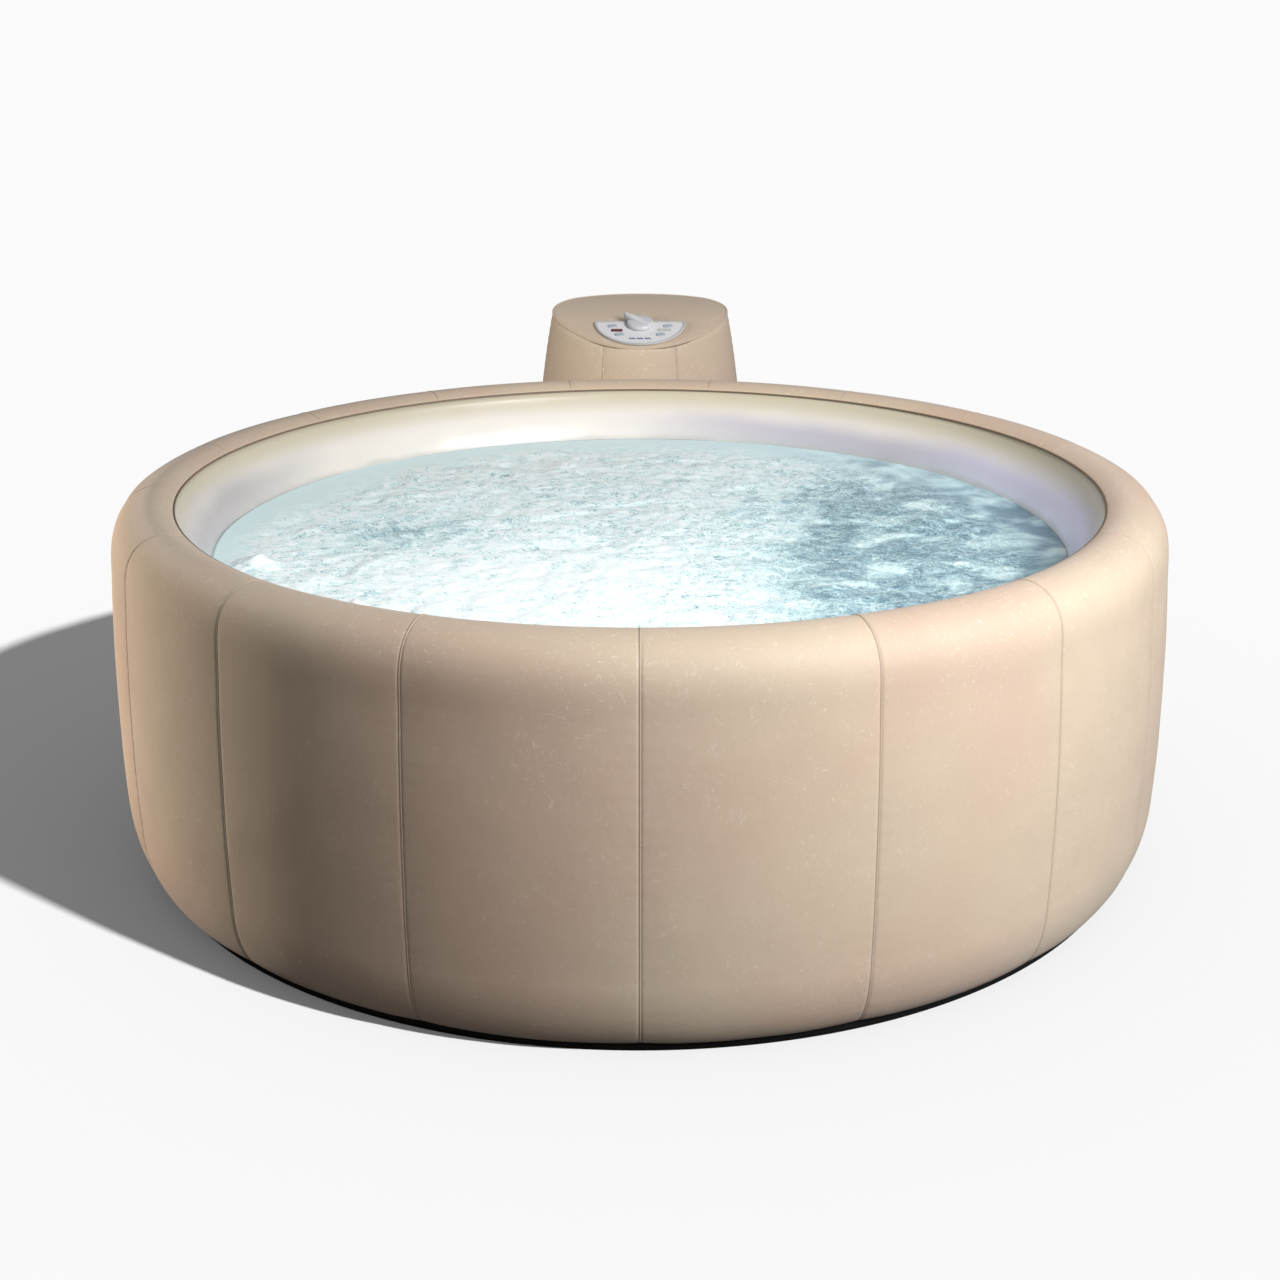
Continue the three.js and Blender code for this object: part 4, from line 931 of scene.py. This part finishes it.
def build_panel(looks):
    face_bottom, face_top = 0.0003, 0.0033
    bezel = plate("bezel", [half_disc(0), half_disc(0.0050)], face_bottom, 0.0048, 0.0012)
    keep(bezel, looks["bezel"], "hood", "panel_bezel", slot="grey_plastic")
    holes = [ellipse(centre, half * 1.10) for centre, half in map(in_panel, BUTTONS)]
    windows = {name: in_panel(name) for name in ("led_display", "status_window")}
    holes += [rounded_box(centre, half + 0.0004) for centre, half in windows.values()]
    holes.append(arc([0, -KNOB_BACK], [0.006, 0.006], 0, 360, 24)[:-1])
    face = plate("face_plate", [half_disc(0.0054), *holes], face_bottom, face_top, 0.0004)
    keep(face, looks["face"], "hood", "panel_face", slot="white_plastic")
    for button, body in BUTTONS.items():
        centre, half = in_panel(button)
        build_key(button.replace("button", "key"), centre, half, looks["key"], body, button)
    for name, (centre, half) in windows.items():
        window = plate(name + "_lens", [rounded_box(centre, half)], -0.003, 0.0041, 0.0005)
        slot = "red_lens" if name == "led_display" else "pale_lens"
        keep(window, looks[slot], "hood", name, slot=slot)
    build_wave_mark(looks["mark"], face_top)
    build_knob(looks["knob"])


def build_key(name, centre, half, material, body, node):
    """Oval key with a dished top."""
    shares_and_heights = [(0.02, 4.5), (0.35, 4.6), (0.6, 4.9), (0.78, 5.2), (0.9, 5.3), (0.97, 5.0),
                          (1.0, 4.4), (1.0, -6.0)]
    rings = [np.insert(ellipse(centre, half * share), 2, height * 0.001, axis=1)
             for share, height in shares_and_heights]
    key = lofted(name, rings)
    key.data.transform(PANEL_FRAME)
    keep(key, material, body, node, slot="grey_plastic")


def build_wave_mark(material, surface):
    """Three plain ripples below the knob."""
    t = np.linspace(-0.5, 0.5, 24)
    wave = np.column_stack([0.013 * t, -0.077 + 0.0022 * np.sin(t * 4 * math.pi), surface + 0.0003 + 0 * t])
    for number in range(3):
        path = wave + [0.017 * (number - 1), 0, 0]
        ripple = tube_along(f"ripple_mark_{number + 1}", path, 0.0011, 8)
        ripple.data.transform(PANEL_FRAME)
        keep(ripple, material, "hood", slot="white_plastic")


def build_knob(material):
    """Round base, and a tall curved grip that points to the setting."""
    profile = [(0.4, 5), (29, 5), (30, 6), (30, 10.5), (28.6, 12.6), (26, 14), (20, 15.2), (0.4, 16.2)]
    base = turn("knob_base", resample(np.array(profile) * 0.001, 0.0012), 72, closed=False)
    t = np.linspace(0, 1, 30)
    x = -0.026 + 0.066 * t
    top = 0.0155 + 0.0115 * smoothstep(0, 0.95, t)
    half = 0.0125 * np.sqrt(np.clip(1 - (2 * t - 1) ** 6, 0.03, 1)) * (1 - 0.62 * t)
    angle = np.linspace(0, math.pi, 14)
    arches = [np.column_stack([
        np.full_like(angle, x[i]), half[i] * np.cos(angle),
        0.010 + (top[i] - 0.010) * np.sin(angle) ** 0.35,
    ]) for i in range(len(t))]
    grip = lofted("knob_grip", arches)
    pointing = Matrix.Rotation(math.radians(155), 4, "Z")
    place = PANEL_FRAME @ Matrix.Translation((0, -KNOB_BACK, 0)) @ pointing
    for part in (outward(base, fill=True), grip):
        part.data.transform(place)
    keep(base, material, "air_knob", "control_knob", slot="grey_plastic")
    keep(grip, material, "air_knob", slot="grey_plastic")


# ---- carried-over CAD nodes


# Pieces without a bore, which can be drawn out to full rounds without closing a hole.
SOLID_PIECES = (
    "motor_housing", "motor_shaft", "pod_base", "suction_hose", "return_hose", "power_cord",
    "power_plug", "power_box", "filter_cap", "drain_lever", "drain_ball", "light_lens", "air_valve",
    "panel_board",
)


EASED_EDGE = 0.0008
FOAM_CLEARANCE = 0.012  # the foam is drawn in by this, to stay under the sheets sewn over it


def dress(obj, material):
    """Gives a CAD node one material, and welds its facets together."""
    obj.data.materials.clear()
    obj.data.materials.append(material)
    for polygon in obj.data.polygons:
        polygon.material_index = 0
    obj.modifiers.new("weld", "WELD").merge_threshold = 0.00005


def ease(obj, rounded):
    """Eases a CAD node's edges, and draws its facets out to full rounds if asked."""
    obj.data.shade_smooth()
    flat = obj.modifiers.new("flat_faces", "DECIMATE")
    flat.decimate_type, flat.angle_limit = "DISSOLVE", math.radians(2)
    bevel = obj.modifiers.new("eased_edges", "BEVEL")
    bevel.limit_method, bevel.angle_limit = "ANGLE", math.radians(38)
    bevel.width, bevel.segments = EASED_EDGE, 2
    if rounded:
        rounds = obj.modifiers.new("rounds", "SUBSURF")
        rounds.levels = rounds.render_levels = 2
    else:
        obj.modifiers.new("even_shading", "WEIGHTED_NORMAL").weight = 80


def dress_cad_nodes(looks):
    slots = {row["node"]: row["material_slot"] for row in frame["record"]["subparts"]}
    for node, obj in frame["nodes"].items():
        if obj.hide_render:
            continue
        dress(obj, looks[slots[node]])
        if slots[node] == "foam":
            shrink = obj.modifiers.new("under_the_sheets", "DISPLACE")
            shrink.mid_level, shrink.strength = 0, -FOAM_CLEARANCE
        else:
            ease(obj, node in SOLID_PIECES)


# ---- stage, light and camera


def build_stage():
    bpy.ops.mesh.primitive_plane_add(size=400)
    floor = bpy.context.object
    floor.name = "studio_floor"
    n = Nodes("studio_floor")
    seen = n.add("ShaderNodeLightPath").outputs["Is Camera Ray"]
    colour = n.mix(seen, (0.06, 0.06, 0.06), (0.80, 0.80, 0.80))
    n.finish(Base_Color=colour, Roughness=0.9, Specular_IOR_Level=0.0)
    floor.data.materials.append(n.material)
    return floor


def lamp(name, kind, aim, direction, energy, size, distance, colour=(1, 1, 1)):
    """A light that shines along direction at the point aim."""
    data = bpy.data.lights.new(name, kind)
    data.energy, data.color = energy, colour
    if kind == "SUN":
        data.angle = math.radians(size)
    elif kind == "SPOT":
        data.shadow_soft_size = size
        data.spot_size, data.spot_blend = math.radians(40), 1.0
    else:
        data.shape, data.size = "DISK", size
    light = bpy.data.objects.new(name, data)
    along = Vector(direction).normalized()
    light.location = Vector(aim) - along * distance
    light.rotation_euler = along.to_track_quat("-Z", "Y").to_euler()
    LINK(light)
    return light


def shine_on(light, objects, state="INCLUDE"):
    """Limits a light to some objects, or with EXCLUDE to everything but them."""
    group = bpy.data.collections.new(light.name + "_receivers")
    for number, obj in enumerate(objects):
        group.objects.link(obj)
        group.collection_objects[number].light_linking.link_state = state
    light.light_linking.receiver_collection = group


WORLD_LIGHT, BACKDROP = 0.235, 0.955  # brightness of the world, as a light and as the camera sees it
TUB_MIDDLE = (0, 0, 0.45)
FROM_RIGHT = (-0.59, 0.60, -0.52)
# Lights for one piece each: the piece, then what lamp() takes.
FILLS = [
    ("water", "water_key", "AREA", TUB_MIDDLE, FROM_RIGHT, 166, 1.8, 3.5, (0.90, 0.975, 1)),
    ("jacket", "left_edge", "SPOT", (-0.80, -0.42, 0.38), (0.866, -0.50, -0.05), 315, 0.15, 2.2,
     (1, 0.91, 0.82)),
    ("liner", "bowl_fill", "AREA", (0.7, 0, 0.5), (0.9, 0.1, -0.42), 31, 1.2, 3.0, (0.97, 0.95, 0.98)),
    ("jacket", "rim_fill", "AREA", (0.70, 0.40, 0.61), (0.86, 0.42, -0.28), 3.0, 0.4, 0.95,
     (1, 0.95, 0.88)),
    ("water", "froth_light", "AREA", (-0.18, -0.34, WATER_LEVEL), (0.12, 0, -1), 1.2, 0.4, 0.65),
    ("hood", "pod_fill", "AREA", (0, 1.1, 0.6), (0.90, 0.45, -0.15), 54, 1.0, 3.5, (1, 0.96, 0.92)),
]


def light_stage(floor, jacket, liner, water, hood):
    """A crisp shadow on the floor, one big soft key light, and a fill for each large piece."""
    world = bpy.data.worlds.new("studio")
    bpy.context.scene.world = world
    world.use_nodes = True
    tree = world.node_tree
    background = tree.nodes["Background"]
    background.inputs["Color"].default_value = (1, 1, 1, 1)
    seen = tree.nodes.new("ShaderNodeLightPath")
    shade = tree.nodes.new("ShaderNodeMapRange")
    tree.links.new(seen.outputs["Is Camera Ray"], shade.inputs["Value"])
    shade.inputs["To Min"].default_value = WORLD_LIGHT
    shade.inputs["To Max"].default_value = BACKDROP
    tree.links.new(shade.outputs["Result"], background.inputs["Strength"])
    shine_on(lamp("floor_sun", "SUN", TUB_MIDDLE, (-0.646, 0.477, -0.596), 4.85, 2.0, 4), [floor])
    floor_fill = lamp("floor_fill", "SUN", TUB_MIDDLE, (0, 0, -1), 0.14, 2.0, 4)
    floor_fill.data.use_shadow = False
    shine_on(floor_fill, [floor])
    key = lamp("key", "AREA", TUB_MIDDLE, FROM_RIGHT, 161, 1.8, 3.5, (0.915, 0.945, 1))
    shine_on(key, [floor, water], "EXCLUDE")
    lit = {"water": [water], "jacket": [jacket], "liner": [liner], "hood": hood}
    for piece, *settings in FILLS:
        fill = lamp(*settings)
        fill.visible_glossy = False  # no glare off the pieces from behind
        shine_on(fill, lit[piece])


def build_camera():
    data = bpy.data.cameras.new("camera")
    data.lens, data.sensor_width = 53.0, 36.0
    camera = bpy.data.objects.new("camera", data)
    camera.location = (0, -3.166, 1.423)
    camera.rotation_euler = (math.radians(90 - 19.3), 0, 0)
    LINK(camera)
    bpy.context.scene.camera = camera


PLASTICS = {
    "white_plastic": [(0.80, 0.82, 0.82), 0.30],
    "grey_plastic": [(0.50, 0.52, 0.54), 0.35],
    "dark_plastic": [(0.03, 0.032, 0.035), 0.5],
    "bezel": [(0.60, 0.59, 0.58), 0.3],
    "face": [(0.90, 0.875, 0.86), 0.25, 0.2, 0.03],
    "key": [(0.50, 0.54, 0.58), 0.5],
    "knob": [(0.71, 0.69, 0.68), 0.28],
    "mark": [(0.03, 0.08, 0.22), 0.4],
}


MATT_STUFFS = {
    "welt_cord": [(160.0, 3.0), [(0.16, 0.105, 0.065), (0.26, 0.18, 0.12)], 0.5, (900.0, 3.0), 0.0002],
    "mat": [(30.0, 4.0), [(0.004, 0.004, 0.004), (0.012, 0.011, 0.011)], 0.85, (140.0,), 0.0008, 0.6, 0.2],
    "rubber": [(60.0, 4.0), [(0.008, 0.008, 0.009), (0.022, 0.022, 0.024)], 0.6, (900.0, 2.0), 0.0002],
    "foam": [(8.0, 4.0), [(0.62, 0.61, 0.57), (0.72, 0.71, 0.68)], 0.95, (260.0,), 0.001, 0.7],
    "filter_paper": [(20.0, 3.0), [(0.70, 0.75, 0.78), (0.82, 0.85, 0.86)], 0.9, (700.0, 3.0), 0.0003, 0.6],
}


def main():
    bpy.context.scene.view_settings.view_transform = "Standard"
    jacket_look = leatherette()
    looks = {name: moulded(name, *settings) for name, settings in PLASTICS.items()}
    looks |= {name: matt(name, *settings) for name, settings in MATT_STUFFS.items()}
    looks |= {
        "leatherette": jacket_look, "pearl_vinyl": pearl_vinyl(), "water": foamy_water(),
        "circuit_board": board(),
        "steel": brushed("steel", (0.55, 0.56, 0.58), 0.32),
        "aluminium": brushed("aluminium", (0.72, 0.74, 0.75), 0.4),
        "red_lens": lens("red_lens", (0.16, 0.035, 0.030), 0.05),
        "pale_lens": lens("pale_lens", (0.70, 0.74, 0.66), 0.0),
    }
    jacket = build_jacket(jacket_look)
    build_rim_cord(looks["welt_cord"])
    liner = build_liner(looks["pearl_vinyl"])
    build_pad(looks["mat"])
    water = build_water(looks["water"])
    hood = [build_hood_sides(jacket_look), build_hood_crown(jacket_look), build_hood_piping(jacket_look)]
    build_panel(looks)
    dress_cad_nodes(looks)
    light_stage(build_stage(), jacket, liner, water, hood)
    build_camera()


main()
